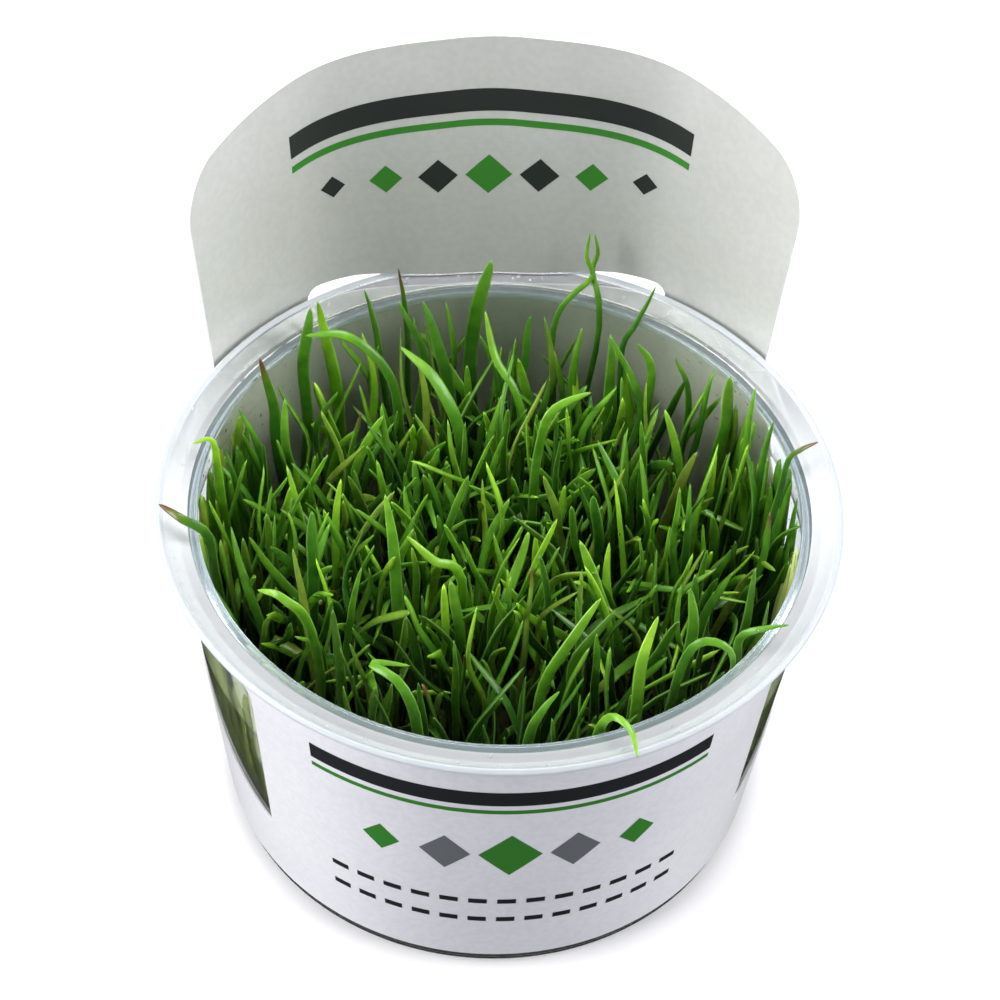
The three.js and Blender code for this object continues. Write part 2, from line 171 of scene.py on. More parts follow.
def add_bump(tree, shader, height, strength, distance):
    bump = node(tree, "ShaderNodeBump", {"Strength": strength, "Distance": distance, "Height": height})
    tree.links.new(bump.outputs["Normal"], shader.inputs["Normal"])


# %% [markdown]
# ## Camera, light and floor
# The camera looks down at the cup from a little to the left of its front. Its place, turn and lens
# come from a fit to the outlines of the cup's rim, base and card, so the CAD part lands on them.
# Clear plastic shows its surroundings, so the world has a brightness for each height: dark far below
# the horizon, a bright line above that, then light walls and a dim ceiling. Soft boxes do the rest.

# %% The camera
CUP_HEIGHT = 60
DISTANCE, ELEVATION, TURN, ROLL = 400, math.radians(47.85), math.radians(5), math.radians(2.86)
SENSOR, LENS, SHIFT = 36, 98.7, (-0.001, -0.0074)

rim = Vector((0, 0, CUP_HEIGHT)) * MM
back = Vector((-math.sin(TURN), -math.cos(TURN), 0)) * math.cos(ELEVATION)
back.z = math.sin(ELEVATION)
eye = rim + back * DISTANCE * MM
right = Vector((math.cos(TURN), -math.sin(TURN), 0))
upward = back.cross(right)
rolled_right = right * math.cos(ROLL) + upward * math.sin(ROLL)
rolled_up = upward * math.cos(ROLL) - right * math.sin(ROLL)
camera_data = bpy.data.cameras.new("camera")
camera_data.sensor_width, camera_data.lens = SENSOR, LENS
camera_data.shift_x, camera_data.shift_y = SHIFT
camera = bpy.data.objects.new("camera", camera_data)
camera.matrix_world = Matrix.Translation(eye) @ Matrix((rolled_right, rolled_up, back)).transposed().to_4x4()
bpy.context.scene.collection.objects.link(camera)
bpy.context.scene.camera = camera
print("camera at", [round(v, 4) for v in eye])

# %% The floor, which lights and mirrors nothing
nothing_selected()
bpy.ops.mesh.primitive_plane_add(size=6)
floor_paint, *_ = principled("floor_paint", Base_Color=(0.93, 0.93, 0.94, 1), Roughness=0.7)
floor = settle(bpy.context.object, "floor", floor_paint)
floor.visible_glossy = floor.visible_diffuse = floor.visible_transmission = False
print("floor:", triangles(floor), "triangles")

# %% The world's brightness by height
DUSK, GLOW, WALLS, CEILING = ((0.90 * v, 0.93 * v, v) for v in (0.08, 1.7, 0.76, 0.15))

world = bpy.data.worlds.new("studio")
world.use_nodes = True
tree = world.node_tree
direction = node(tree, "ShaderNodeTexCoord").outputs["Generated"]
height = node(tree, "ShaderNodeSeparateXYZ", {"Vector": direction}).outputs["Z"]
way_up = mapped(tree, height, from_min=-1, from_max=1)
sky = ramp(tree, way_up, (0.125, DUSK), (0.155, GLOW), (0.22, WALLS), (0.375, WALLS), (0.625, CEILING))
tree.links.new(sky, tree.nodes["Background"].inputs["Color"])
world.cycles_visibility.glossy = False
bpy.context.scene.world = world
bpy.context.scene.view_settings.view_transform = "Standard"
print("world:", world.name)


# %% The soft boxes
def soft_box(name, place, aim, size, watts, colour=(1, 1, 1)):
    data = bpy.data.lights.new(name, "AREA")
    data.shape, data.size, data.size_y = "RECTANGLE", size[0], size[1]
    data.energy, data.color = watts, colour
    light = bpy.data.objects.new(name, data)
    light.location = place
    light.rotation_euler = (Vector(aim) - Vector(place)).to_track_quat("-Z", "Y").to_euler()
    bpy.context.scene.collection.objects.link(light)
    print(name, watts, "W")


soft_box("overhead", (0, 0.05, 1.0), (0, 0, 0), (0.72, 0.5), 9)
soft_box("left_side", (-1.0, -0.15, 0.45), (0, 0, 0.05), (0.9, 0.7), 17.5, (1, 0.99, 1))
soft_box("right_side", (1.0, -0.15, 0.45), (0, 0, 0.05), (0.8, 0.7), 14, (1, 0.99, 1))

# %% [markdown]
# ## The cup
# The real cup is blown from one sheet of clear plastic, so its wall has one thickness and every
# corner is round. A turned thing is its profile swept round an axis: the profile is drawn by
# extruding one point from corner to corner, and Spin sweeps it. The flange is dished, with a fine
# bead at its outer edge, a step where a lid would sit and a small roll at the mouth.

# %% Sizes shared by cup and card
BASE_RADIUS, WALL_SLOPE = 41.35, 0.1045
BORE_FOOT, BORE_SLOPE = 40.8, 0.086
FLANGE_RADIUS, FLANGE_DISH, LID_SEAT_RADIUS, MOUTH_RADIUS = 50.2, 1.9, 45.9, 44.6
SEAT = CUP_HEIGHT - FLANGE_DISH
LIP_RADIUS, LEDGE_RADIUS, LIP_FROM = MOUTH_RADIUS - 0.5, LID_SEAT_RADIUS - 0.25, FLANGE_RADIUS - 1.1
PLASTIC, CUP_FLOOR, THIN_TO, THICK_FROM, FINE_RING = 0.4, 0.3, 40, 50, 50.6
CUP_STEPS, GEL_STEPS = 160, 96


def wall_radius(z):
    return BASE_RADIUS + WALL_SLOPE * z


def bore_radius(z):
    return BORE_FOOT + BORE_SLOPE * z


def inner_radius(z):
    """The cup's inner face: the real plastic is thinner than the CAD wall, and thickens towards the mouth."""
    thick = np.maximum(bore_radius(THICK_FROM), bore_radius(z))
    return np.where(np.asarray(z) < THIN_TO, wall_radius(z) - PLASTIC, thick)


def smooth(t):
    t = min(1, max(0, t))
    return t * t * (3 - 2 * t)


print("mouth of the cup:", 2 * MOUTH_RADIUS, "mm across")

# %% Round the corners of a profile, and turn it
ROUNDING_STEPS, MOST_OF_AN_EDGE = (0, 0.25, 0.5, 0.75, 1), 0.45


def rounded(corners):
    """Each corner is (radius, height, rounding); a rounded one becomes a short arc of points."""
    points = []
    for i, (r, z, rounding) in enumerate(corners):
        here = Vector((r, z))
        if rounding == 0 or i in (0, len(corners) - 1):
            points.append(here)
            continue
        before = Vector(corners[i - 1][:2]) - here
        after = Vector(corners[i + 1][:2]) - here
        start = here + before.normalized() * min(rounding, MOST_OF_AN_EDGE * before.length)
        end = here + after.normalized() * min(rounding, MOST_OF_AN_EDGE * after.length)
        points += [start * (1 - t) ** 2 + here * 2 * t * (1 - t) + end * t * t for t in ROUNDING_STEPS]
    return points


def turned(name, corners, steps, material):
    """Extrude one point along the profile, spin it round the Z axis and weld the seam."""
    points = rounded(corners)
    nothing_selected()
    bpy.ops.mesh.primitive_plane_add(size=0.01, location=(0, 0, 0))
    piece = bpy.context.object
    bpy.ops.object.mode_set(mode="EDIT")
    bpy.ops.mesh.select_all(action="SELECT")
    bpy.ops.mesh.merge(type="CENTER")
    bpy.ops.transform.translate(value=(points[0].x * MM, 0, points[0].y * MM))
    for here, there in zip(points, points[1:]):
        step = ((there.x - here.x) * MM, 0, (there.y - here.y) * MM)
        bpy.ops.mesh.extrude_region_move(TRANSFORM_OT_translate={"value": step})
    bpy.ops.mesh.select_all(action="SELECT")
    bpy.ops.mesh.spin(steps=steps, angle=2 * math.pi, center=(0, 0, 0), axis=(0, 0, 1))
    bpy.ops.object.mode_set(mode="OBJECT")
    edit_all(piece, (bpy.ops.mesh.remove_doubles, {"threshold": WELD}),
             (bpy.ops.mesh.normals_make_consistent, {"inside": False}))
    settle(piece, name, material)
    bpy.ops.object.shade_smooth_by_angle(angle=CREASE)
    print(name, triangles(piece), "triangles")
    return piece


def on_wall(z, inset=0, rounding=0):
    return wall_radius(z) - inset, z, rounding


def on_bore(z, inset=0, rounding=0):
    return bore_radius(z) - inset, z, rounding


# %% [markdown]
# ## The plastic's finish
# The wall lets light through and is a little hazed and grained by its mould. The flange is thicker
# and cloudier, with a gloss of its own. Plain transmission gives all of this: noise varies the
# roughness. A ramp from front to back makes the flange cloudier, so paler, at the front and clearer
# at the back: painted light, for the way light falls on the rim and shows through it.

# %% Clear plastic for the wall
clear_plastic, tree, shader = principled(
    "clear_plastic", Base_Color=(0.95, 0.97, 0.97, 1), Roughness=0.14, IOR=1.46, Transmission_Weight=1.0
)
haze = mapped(tree, noise(tree, scale=90, detail=3), to_min=0.08, to_max=0.2)
tree.links.new(haze, shader.inputs["Roughness"])
add_bump(tree, shader, noise(tree, scale=160, detail=1), strength=0.05, distance=0.0004)

# %% Cloudier plastic for the flange and the lip
cloudy_rim, tree, shader = principled(
    "cloudy_rim", Base_Color=(0.84, 0.865, 0.895, 1), Roughness=0.17, IOR=1.46, Transmission_Weight=0.6,
    Coat_Weight=1.0, Coat_Roughness=0.04,
)
add_bump(tree, shader, noise(tree, scale=700, detail=2), strength=0.2, distance=0.0002)
# Painted light: the flange is made cloudier and paler at the front, and clearer at the back.
coordinates = node(tree, "ShaderNodeTexCoord").outputs["Object"]
backwards = node(tree, "ShaderNodeSeparateXYZ", {"Vector": coordinates}).outputs["Y"]
way_back = mapped(tree, backwards, from_min=-0.05, from_max=0.036)
painted_clearness = [(place, (clear,) * 3) for place, clear in ((0, 0.55), (0.35, 0.5), (0.58, 0.27), (1, 0.9))]
tree.links.new(ramp(tree, way_back, *painted_clearness), shader.inputs["Transmission Weight"])

grey_lip, *_ = principled(
    "grey_lip", Base_Color=(0.66, 0.80, 0.85, 1), Roughness=0.2, IOR=1.46, Transmission_Weight=0.8,
    Coat_Weight=0.4, Coat_Roughness=0.12,
)
# The rolled outer edge is a darker, duller copy of the rim's plastic: its darker colour is painted shade.
shaded_rolled_edge, *_ = principled(
    "shaded_rolled_edge", Base_Color=(0.72, 0.76, 0.80, 1), Roughness=0.5, IOR=1.46, Transmission_Weight=0.4,
)

# %% Turn the cup
foot = [(0, 0, 0), (BASE_RADIUS - 0.5, 0, 0), (BASE_RADIUS - 0.05, 0, 0.2)]
outer_wall = [on_wall(0.35, 0, 0.2), on_wall(1.2), on_wall(SEAT - 2.2), on_wall(SEAT - 1.3, 0, 0.4)]
flange = [
    (wall_radius(SEAT) + 0.3, SEAT - 0.9, 0.3),
    (FLANGE_RADIUS - 0.9, CUP_HEIGHT - 1.35, 0.2),
    (FLANGE_RADIUS - 0.2, CUP_HEIGHT - 1.3, 0.1),
    (FLANGE_RADIUS, CUP_HEIGHT - 1.1, 0.1),
    (FLANGE_RADIUS - 0.05, CUP_HEIGHT - 0.75, 0.2),
    (FLANGE_RADIUS - 0.55, CUP_HEIGHT - 0.2, 0.3),
    (LIP_FROM, CUP_HEIGHT - 0.8, 0.25),
]
lid_seat_and_lip = [
    (LEDGE_RADIUS + 0.5, SEAT + 0.2, 0),
    (LEDGE_RADIUS + 0.2, SEAT + 0.1, 0.2),
    (LEDGE_RADIUS, SEAT - 0.15, 0.1),
    (LIP_RADIUS + 0.6, SEAT - 0.15, 0.1),
    (LIP_RADIUS + 0.3, SEAT + 0.05, 0.15),
    (LIP_RADIUS, SEAT - 0.3, 0.3),
    (LIP_RADIUS + 0.1, SEAT - 1.2, 0.3),
]
neck = [on_bore(SEAT - 2.4, 0, 0.6), on_bore(FINE_RING + 0.8), on_bore(FINE_RING + 0.4),
        on_bore(FINE_RING, 0.06, 0.2), on_bore(FINE_RING - 0.4), on_bore(THICK_FROM)]
inner_wall = [on_wall(THIN_TO, PLASTIC, 0.5), on_wall(THIN_TO - 1, PLASTIC), on_wall(1.2, PLASTIC),
              on_wall(0.45, PLASTIC, 0.15)]
inner_floor = [(BASE_RADIUS - 0.55, CUP_FLOOR, 0.15), (BASE_RADIUS - 1.6, CUP_FLOOR, 0), (0, CUP_FLOOR, 0)]
cup_profile = foot + outer_wall + flange + lid_seat_and_lip + neck + inner_wall + inner_floor
cup = turned("cup_wall", cup_profile, CUP_STEPS, clear_plastic)

# %% Each part of the cup takes its own plastic
RIM_HEIGHT, LIP_HEIGHT = SEAT - 1.3, SEAT - 1.6
for material in (cloudy_rim, grey_lip, shaded_rolled_edge):
    cup.data.materials.append(material)
for face in cup.data.polygons:
    radius, z = face.center.xy.length / MM, face.center.z / MM
    if z > RIM_HEIGHT and radius > LEDGE_RADIUS:
        face.material_index = 3 if radius > LIP_FROM else 1
    elif z > LIP_HEIGHT and radius < LEDGE_RADIUS:
        face.material_index = 2
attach(cup, "root")
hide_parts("cup")
print("finishes on the cup:", len(cup.data.materials))

# %% [markdown]
# ## The card sleeve
# The sleeve is one sheet of coated card, cut flat and wrapped round the cup: a front panel, a low
# band, a window on each side, and a tall arched back panel with a slot for the flange. So it starts
# as a flat grid, whose columns run round the cup and whose rows follow the cut edges. The cells in
# the windows and the slot are deleted, the sheet is wrapped, and Solidify gives the card's thickness.
# Each window's upper front corner is cut round, so a small fillet of card is added there. The card
# is white outside. Its inner face is painted darker for shade: grey on the panel's face, and lower
# down a paler grey with a painted green cast of the light from the leaves inside.

# %% The outline of the cut card, by angle from the front in degrees
CARD_THICKNESS, CARD_GAP, CARD_BOTTOM, CARD_TOP = 0.3, 0.05, 2.3, CUP_HEIGHT - 3.4
RIGHT_EDGE, LEFT_EDGE, WINDOW_LOW, WINDOW_CURVE = 54.8, 52.2, 16.8, 1.3
BACK_PANEL_EDGE, BACK_PANEL_TOP, BACK_PANEL_ARCH = 56.3, 102.5, 0.0034
PANEL_CORNER, PANEL_CORNER_AT = 7, 120
SLOT_END, SLOT_CORNER, SLOT_CLEARANCE = 33.5, 2.2, 0.4
CARD_FLARE, FLARE_FROM, FLARE_STARTS, FLARE_RISES, FLARE_FALLS = 3.3, 40, 6, 26, 32


def card_radius(from_front, z):
    """The card's inner face; beside the slot it is pushed out past the flange."""
    from_back = 180 - from_front
    outside = smooth((from_back - FLARE_STARTS) / FLARE_RISES)
    outside *= 1 - smooth((from_back - BACK_PANEL_EDGE) / FLARE_FALLS)
    return wall_radius(z) + CARD_GAP + CARD_FLARE * outside * smooth((z - FLARE_FROM) / (CARD_TOP - FLARE_FROM))


def band_top(angle):
    """The left window is cut a little further forward than the right one."""
    from_front, edge = abs(angle), LEFT_EDGE if angle < 0 else RIGHT_EDGE
    if from_front < edge:
        return CARD_TOP
    along = (from_front - edge) / (180 - BACK_PANEL_EDGE - edge)
    return WINDOW_LOW + (CARD_TOP - WINDOW_LOW) * min(1, along) ** WINDOW_CURVE


def panel_arch(from_back):
    return BACK_PANEL_TOP - BACK_PANEL_ARCH * from_back**2


def panel_top(from_back):
    arch = panel_arch(from_back)
    corner_degrees = math.degrees(PANEL_CORNER / card_radius(PANEL_CORNER_AT, arch))
    corner = max(0, (from_back - BACK_PANEL_EDGE + corner_degrees) / corner_degrees)
    return arch - PANEL_CORNER * (1 - math.sqrt(max(0, 1 - corner**2)))


def flange_top(radius):
    inwards = (FLANGE_RADIUS - radius) / (FLANGE_RADIUS - LID_SEAT_RADIUS)
    return CUP_HEIGHT - FLANGE_DISH * min(1, max(0, inwards))


def panel_foot(from_front):
    """The slot's upper edge, which curves down at the slot's ends."""
    corner_degrees = math.degrees(SLOT_CORNER / FLANGE_RADIUS)
    corner = min(1, max(0, 1 - abs(SLOT_END - 180 + from_front) / corner_degrees))
    drop = SLOT_CORNER * (1 - math.sqrt(1 - corner**2)) if 180 - from_front < SLOT_END else SLOT_CORNER
    return flange_top(card_radius(from_front, CUP_HEIGHT)) + SLOT_CLEARANCE - drop


def on_card(angle, z, lift):
    """A point on the card, lift mm outside its inner face; the angle runs from -180 to 180."""
    radius = card_radius(abs(angle), z) + lift
    turn = math.radians(angle)
    return Vector((radius * math.sin(turn), -radius * math.cos(turn), z)) * MM


# %% Columns and rows of the flat sheet
LABEL_COLUMNS, WINDOW_COLUMNS, CORNER_COLUMNS, SHOULDER_COLUMNS, SLOT_COLUMNS = 30, 44, 14, 8, 24
BAND_ROWS, PANEL_ROWS = 16, 18
WINDOW_EDGE_WIDTH, CORNER_SPAN, CLOSER = 0.1, 9, 1.6


def spaced(start, end, count, power=1):
    return [start + (end - start) * (k / count) ** power for k in range(count)]


def half_columns(edge):
    """Angles of the columns from the front to the back; they stand closer where an edge is curved."""
    panel_from, slot_from = 180 - BACK_PANEL_EDGE, 180 - SLOT_END
    return (
        spaced(0, edge, LABEL_COLUMNS) + [edge]
        + spaced(edge + WINDOW_EDGE_WIDTH, panel_from, WINDOW_COLUMNS)
        + spaced(panel_from, panel_from + CORNER_SPAN, CORNER_COLUMNS, CLOSER)
        + spaced(panel_from + CORNER_SPAN, slot_from, SHOULDER_COLUMNS)
        + spaced(slot_from, 180, SLOT_COLUMNS, CLOSER)
    )


columns = [-180] + [-angle for angle in reversed(half_columns(LEFT_EDGE)[1:])]
columns += half_columns(RIGHT_EDGE) + [180]
print("columns of the sheet:", len(columns))


def card_height(angle, row):
    from_front = abs(angle)
    if row <= BAND_ROWS:
        return CARD_BOTTOM + (band_top(angle) - CARD_BOTTOM) * row / BAND_ROWS
    foot, top = panel_foot(from_front), panel_top(180 - from_front)
    return foot + (top - foot) * (row - BAND_ROWS - 1) / (PANEL_ROWS - 1)


def is_cut_away(angle, row):
    """Whether the cell above a row, at an angle between two columns, is outside the card."""
    from_back = 180 - abs(angle)
    if row < BAND_ROWS:
        return False
    return from_back > BACK_PANEL_EDGE or (row == BAND_ROWS and from_back < SLOT_END)


# %% Coated card in three shades: white, and two copies with painted shade
def coated_card(name, dark, light):
    material, tree, shader = principled(name, Roughness=0.32, Coat_Weight=0.25, Coat_Roughness=0.18)
    fibres = noise(tree, scale=900, detail=4)
    shade = ramp(tree, noise(tree, scale=45, detail=2), (0.35, dark), (0.65, light))
    flecks = ramp(tree, fibres, (0.4, (0.92, 0.92, 0.92)), (0.6, (1, 1, 1)))
    tree.links.new(colour_mix(tree, 0.6, shade, flecks, "MULTIPLY"), shader.inputs["Base Color"])
    add_bump(tree, shader, fibres, strength=0.06, distance=0.0001)
    return material


white_card = coated_card("white_card", (0.83, 0.83, 0.865), (0.87, 0.87, 0.90))
# Painted shade on the panel's inner face; below it, painted shade with a painted green cast of light from the
# leaves.
shaded_panel_face = coated_card("shaded_panel_face", (0.57, 0.58, 0.55), (0.61, 0.62, 0.60))
leaf_lit_lining = coated_card("leaf_lit_lining", (0.77, 0.79, 0.62), (0.83, 0.85, 0.68))

# %% Cut the windows and the slot, and wrap the sheet
CARD_WELD = 2e-5

nothing_selected()
bpy.ops.mesh.primitive_grid_add(x_subdivisions=len(columns) - 1, y_subdivisions=BAND_ROWS + PANEL_ROWS, size=1)
card = bpy.context.object
mesh = card.data
across = sorted({round(v.co.x, 5) for v in mesh.vertices})
up = sorted({round(v.co.y, 5) for v in mesh.vertices})
spot = {v.index: (across.index(round(v.co.x, 5)), up.index(round(v.co.y, 5))) for v in mesh.vertices}
for face in mesh.polygons:
    corners = [spot[i] for i in face.vertices]
    middle = sum(columns[column] for column, _ in corners) / 4
    face.select = is_cut_away(middle, min(row for _, row in corners))
for vertex in mesh.vertices:
    column, row = spot[vertex.index]
    vertex.co = on_card(columns[column], card_height(columns[column], row), 0)
bpy.context.tool_settings.mesh_select_mode = (False, False, True)
bpy.ops.object.mode_set(mode="EDIT")
bpy.ops.mesh.delete(type="FACE")
bpy.ops.mesh.select_all(action="SELECT")
bpy.ops.mesh.remove_doubles(threshold=CARD_WELD)
bpy.ops.object.mode_set(mode="OBJECT")
bpy.context.tool_settings.mesh_select_mode = (True, False, False)
print("faces of the cut sheet:", len(mesh.polygons))

# %% Fillets in the windows' upper front corners
FILLET_WIDTH, FILLET_HEIGHT, FILLET_CURVE = 4.5, 6.5, 0.7

sheets = [card]
for side, edge in ((-1, LEFT_EDGE), (1, RIGHT_EDGE)):
    nothing_selected()
    bpy.ops.mesh.primitive_grid_add(x_subdivisions=10, y_subdivisions=3, size=1)
    fillet = bpy.context.object
    for vertex in fillet.data.vertices:
        out, up = FILLET_WIDTH * (vertex.co.x + 0.5) ** 2, vertex.co.y + 0.5
        foot = CARD_TOP - FILLET_HEIGHT * (1 - (out / FILLET_WIDTH) ** FILLET_CURVE)
        z = foot + (CARD_TOP - foot) * up
        label_edge = edge * (1 - (z - WINDOW_LOW) / (CARD_TOP - WINDOW_LOW) / LABEL_COLUMNS)
        vertex.co = on_card(side * (label_edge + math.degrees(out / wall_radius(CARD_TOP))), z, 0)
    if side < 0:
        edit_all(fillet, (bpy.ops.mesh.flip_normals, {}))
    sheets.append(fillet)
print("sheets of card:", len(sheets))

# %% Join the sheets and give the card its thickness
nothing_selected()
for sheet in sheets:
    sheet.select_set(True)
bpy.context.view_layer.objects.active = card
bpy.ops.object.join()
thickness = card.modifiers.new("thickness", "SOLIDIFY")
thickness.thickness, thickness.offset = CARD_THICKNESS * MM, 1
bpy.ops.object.modifier_apply(modifier="thickness")
settle(card, "card_wrap", white_card)
card.data.materials.append(shaded_panel_face)
card.data.materials.append(leaf_lit_lining)
for face in card.data.polygons:
    inner = face.normal.xy.dot(face.center.xy.normalized()) < -0.5
    face.material_index = 0 if not inner else 1 if face.center.z > CARD_TOP * MM else 2
bpy.ops.object.shade_smooth_by_angle(angle=CREASE)
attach(card, "root")
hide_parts("card_sleeve")
print("card:", triangles(card), "triangles; size in m", [round(side, 4) for side in card.dimensions])

# %% [markdown]
# ## The nutrient gel
# A low disc of cloudy gel fills the bottom of the cup, and is seen as an olive line under the card
# and through the low end of the windows. It is turned like the cup, with a meniscus at its edge.

# %% Turn the gel
olive_gel, tree, shader = principled(
    "olive_gel", Base_Color=(0.12, 0.14, 0.045, 1), Roughness=0.25, IOR=1.34, Subsurface_Weight=0.3,
    Subsurface_Scale=0.004,
)
matted = ramp(tree, noise(tree, scale=260, detail=4, distortion=2),
              (0.35, (0.03, 0.04, 0.012)), (0.6, (0.08, 0.095, 0.03)), (0.72, (0.2, 0.2, 0.09)))
tree.links.new(matted, shader.inputs["Base Color"])

GEL_TOP, GEL_GAP = 14, 0.04
inset = PLASTIC + GEL_GAP
gel_profile = [
    (0, CUP_FLOOR + GEL_GAP, 0),
    (BASE_RADIUS - 1.6, CUP_FLOOR + GEL_GAP, 0),
    (BASE_RADIUS - 0.62, CUP_FLOOR + GEL_GAP, 0.15),
    on_wall(0.5, inset, 0.15),
    on_wall(1.3, inset),
    on_wall(GEL_TOP, inset),
    on_wall(GEL_TOP + 0.5, inset, 0.1),
    (wall_radius(GEL_TOP) - PLASTIC - 1.0, GEL_TOP + 0.15, 0.4),
    (wall_radius(GEL_TOP) - PLASTIC - 2.2, GEL_TOP, 0.4),
    (0, GEL_TOP, 0),
]
gel = turned("gel_layer", gel_profile, GEL_STEPS, olive_gel)
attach(gel, "root")
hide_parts("nutrient_gel")

# %% [markdown]
# ## How a leaf grows
# Each leaf is a strap on a curve of its own, so hundreds of them can't be copies of one. They come
# from a recipe instead: seeded numbers choose where a leaf stands, how it leans and bows, and how
# broad it is. The first leaves repeat the CAD part's recipe number by number, so that the fine
# leaves lie on its plain ones, and more leaves then thicken the stand, as in the real cup.

# %% The leaves that stand out: crown, then width and the points on the way to the tip, from the rim
STANDING_OUT = [
    ((-37, -4), [(2.4, (-42, -5, -13), (-42.5, -6.5, -1), (-46, -6.5, 2.8), (-49.5, -3, 2))]),
    ((-37, 6), [(2.2, (-41, 9, -15), (-41.5, 9.5, -6), (-42, 9.3, 2), (-45, 8.8, 2))]),
    ((-33, 17), [(2, (-35, 20, -15), (-38.5, 20.5, -3)), (1.8, (-38.5, 12, -14), (-40.5, 12.5, -3))]),
    ((-29, 23), [(2.8, (-33, 24, -15), (-33.5, 25, -7), (-35.3, 26, 2.5)), (3, (-28.5, 30, -15),
        (-28.5, 31.5, -3), (-27.5, 33, 6))]),
    ((-20, 27), [(3.2, (-24, 33, -11), (-25, 34.5, -3), (-26.5, 36, 4.5))]),
    ((-13, 24), [(2.4, (-14, 27, -13), (-16, 28.5, -3), (-22, 30.2, 2.5), (-28.5, 31, 2))]),
    ((-12, 33), [(1.8, (-16.5, 37, -11), (-17.5, 38, -3), (-19.3, 38.5, 4.5)), (1.6, (-12.5, 39, -11),
        (-13, 40, 0), (-14, 41, 6.5)), (2.2, (-9.5, 36, -13), (-14, 38, 2.5))]),
    ((-4, 20), [(3.2, (-4.5, 22.5, -15), (-8, 25, -3), (-14, 29, 1.5))]),
    ((-5, 30), [(3.2, (-6, 34, -15), (-8, 35.7, -4), (-10.4, 36.8, 3.5))]),
    ((-1, 35), [(3.6, (-2.5, 39, -17), (-1.5, 40, -2), (0.4, 41, 8))]),
    ((5, 24), [(2.2, (5, 27.5, -13), (1, 32, -4), (-0.8, 35, 3))]),
    ((6, 33), [(2, (5.7, 36, -9), (6.4, 36.8, 0))]),
    ((13, 34), [(1.5, (10.5, 38.5, -14), (11, 39.5, -4), (13, 40.2, 0.5), (16.2, 41.7, 3.5), (15.1, 42.5, 7),
        (15.6, 43.6, 11.5)), (1.5, (17, 39, -12), (17.3, 40, -0.5), (16.4, 43, 3.5), (17.1, 43.8, 6.5),
        (16.4, 44.6, 10))]),
    ((15, 26), [(2.2, (13.5, 34, -12), (14.3, 34.6, -0.5)), (2.8, (19, 32, -11), (18.6, 32.7, -0.5))]),
    ((22, 29), [(1.5, (21, 36, -11), (23, 36.5, -2), (25.6, 37, 6)), (2.4, (24.8, 29, -15), (25, 30, -5),
        (22.6, 31, -0.5))]),
    ((28, 22), [(1.8, (31, 27.5, -11), (28.3, 27.8, -0.5)), (1.6, (33, 24.5, -7), (34.2, 26, -1.5))]),
    ((34, 14), [(3, (35, 21, -21), (36, 22.5, -10), (36.3, 23.8, -0.5)), (1.8, (38.5, 17, -15),
        (38.6, 17.6, -4), (39.3, 18.6, 2.5))]),
    ((37, 6), [(2, (40.6, 12, -9), (41.6, 13.2, 0.5)), (1.8, (41, 3, -15), (42, 4, -6), (42.5, 4.2, 1.5),
        (44.5, 5, 3), (47.4, 7, 2.4))]),
    ((6, 8), [(2.4, (6.3, 11.5, -17), (6.3, 13, -5), (8, 13.8, 2.5), (14.4, 16.8, 3.5))]),
    ((-26, -16), [(2.4, (-27.5, -19, -9), (-31.5, -19.5, 0), (-35.4, -16.5, -1.5))]),
    ((-27, -6), [(3, (-27.7, -5.6, -17), (-27.5, -4.3, 1.5))]),
    ((-14, -11), [(3, (-15, -10.5, -23), (-15.5, -6.5, -7), (-17, -3, 3.5))]),
    ((-4, -9), [(2.4, (-6, -8.2, -11), (-10, -9.3, -4), (-14, -9, 1))]),
    ((-12, -33), [(2.6, (-12.6, -35.8, -13), (-15.5, -35, -1), (-19.5, -31, -0.5), (-14, -30.3, -2))]),
    ((8, -34), [(2.4, (11, -40, -10), (11.5, -42, -1), (13, -43.7, 3), (15, -46.5, 3.3), (15.8, -49.5, 1.4))]),
    ((17, -28), [(3, (18, -31, -15), (18.3, -29.3, -4), (20.6, -25.8, 2.5))]),
    ((25, -21), [(2.8, (26, -22, -17), (26.5, -21.4, -5), (25.7, -20, 1.5)), (2.2, (23, -29.6, -13),
        (24.5, -29, -3), (27, -29.5, 1), (30.5, -30.2, -0.5), (31.4, -30.8, -7))]),
    ((32, -18), [(2.4, (32, -27.2, -9), (32, -28, 0), (35.5, -28.8, 3), (38.6, -28.5, 3.3)), (2.4,
        (35.5, -15.5, -16), (36, -14, -1.5))]),
    ((4, -24), [(2.6, (4.5, -27, -21), (5.5, -25.5, -12), (9.5, -23.7, -4), (13, -21.5, 1.5))]),
    ((1, -34), [(2.6, (2.5, -37.3, -12), (4, -37.3, -4), (6.3, -36, -1))]),
]

# How bright each of them looks, from 0 for deep green to 1 for lime, and those whose tips have dried
STANDING_TONES = [
    [0.2], [0.85], [0.75, 0.5], [0.25, 0.5], [0.8], [0.85], [0.35, 0.2, 0.5], [0.5], [0.55], [0.45],
    [0.65], [0.4], [0.7, 0.6], [0.45, 0.5], [0.45, 0.8], [0.35, 0.4], [0.35, 0.5], [0.6, 0.4], [0.75],
    [0.6], [0.5], [0.7], [0.75], [0.9], [0.85], [0.85], [0.7, 0.8], [0.5, 0.45], [0.6], [0.75],
]
DRY_TIPS = {(0, 0), (3, 0), (6, 1), (17, 1)}
print("leaves that stand out:", sum(map(len, STANDING_TONES)))


# %% Seeded numbers, the same as in the CAD part
def seeded(seed):
    state = seed

    def draw():
        nonlocal state
        state = state * 16807 % 2147483647
        return state / 2147483647

    return draw


random = seeded(4024)


def between(low, high):
    return low + (high - low) * random()


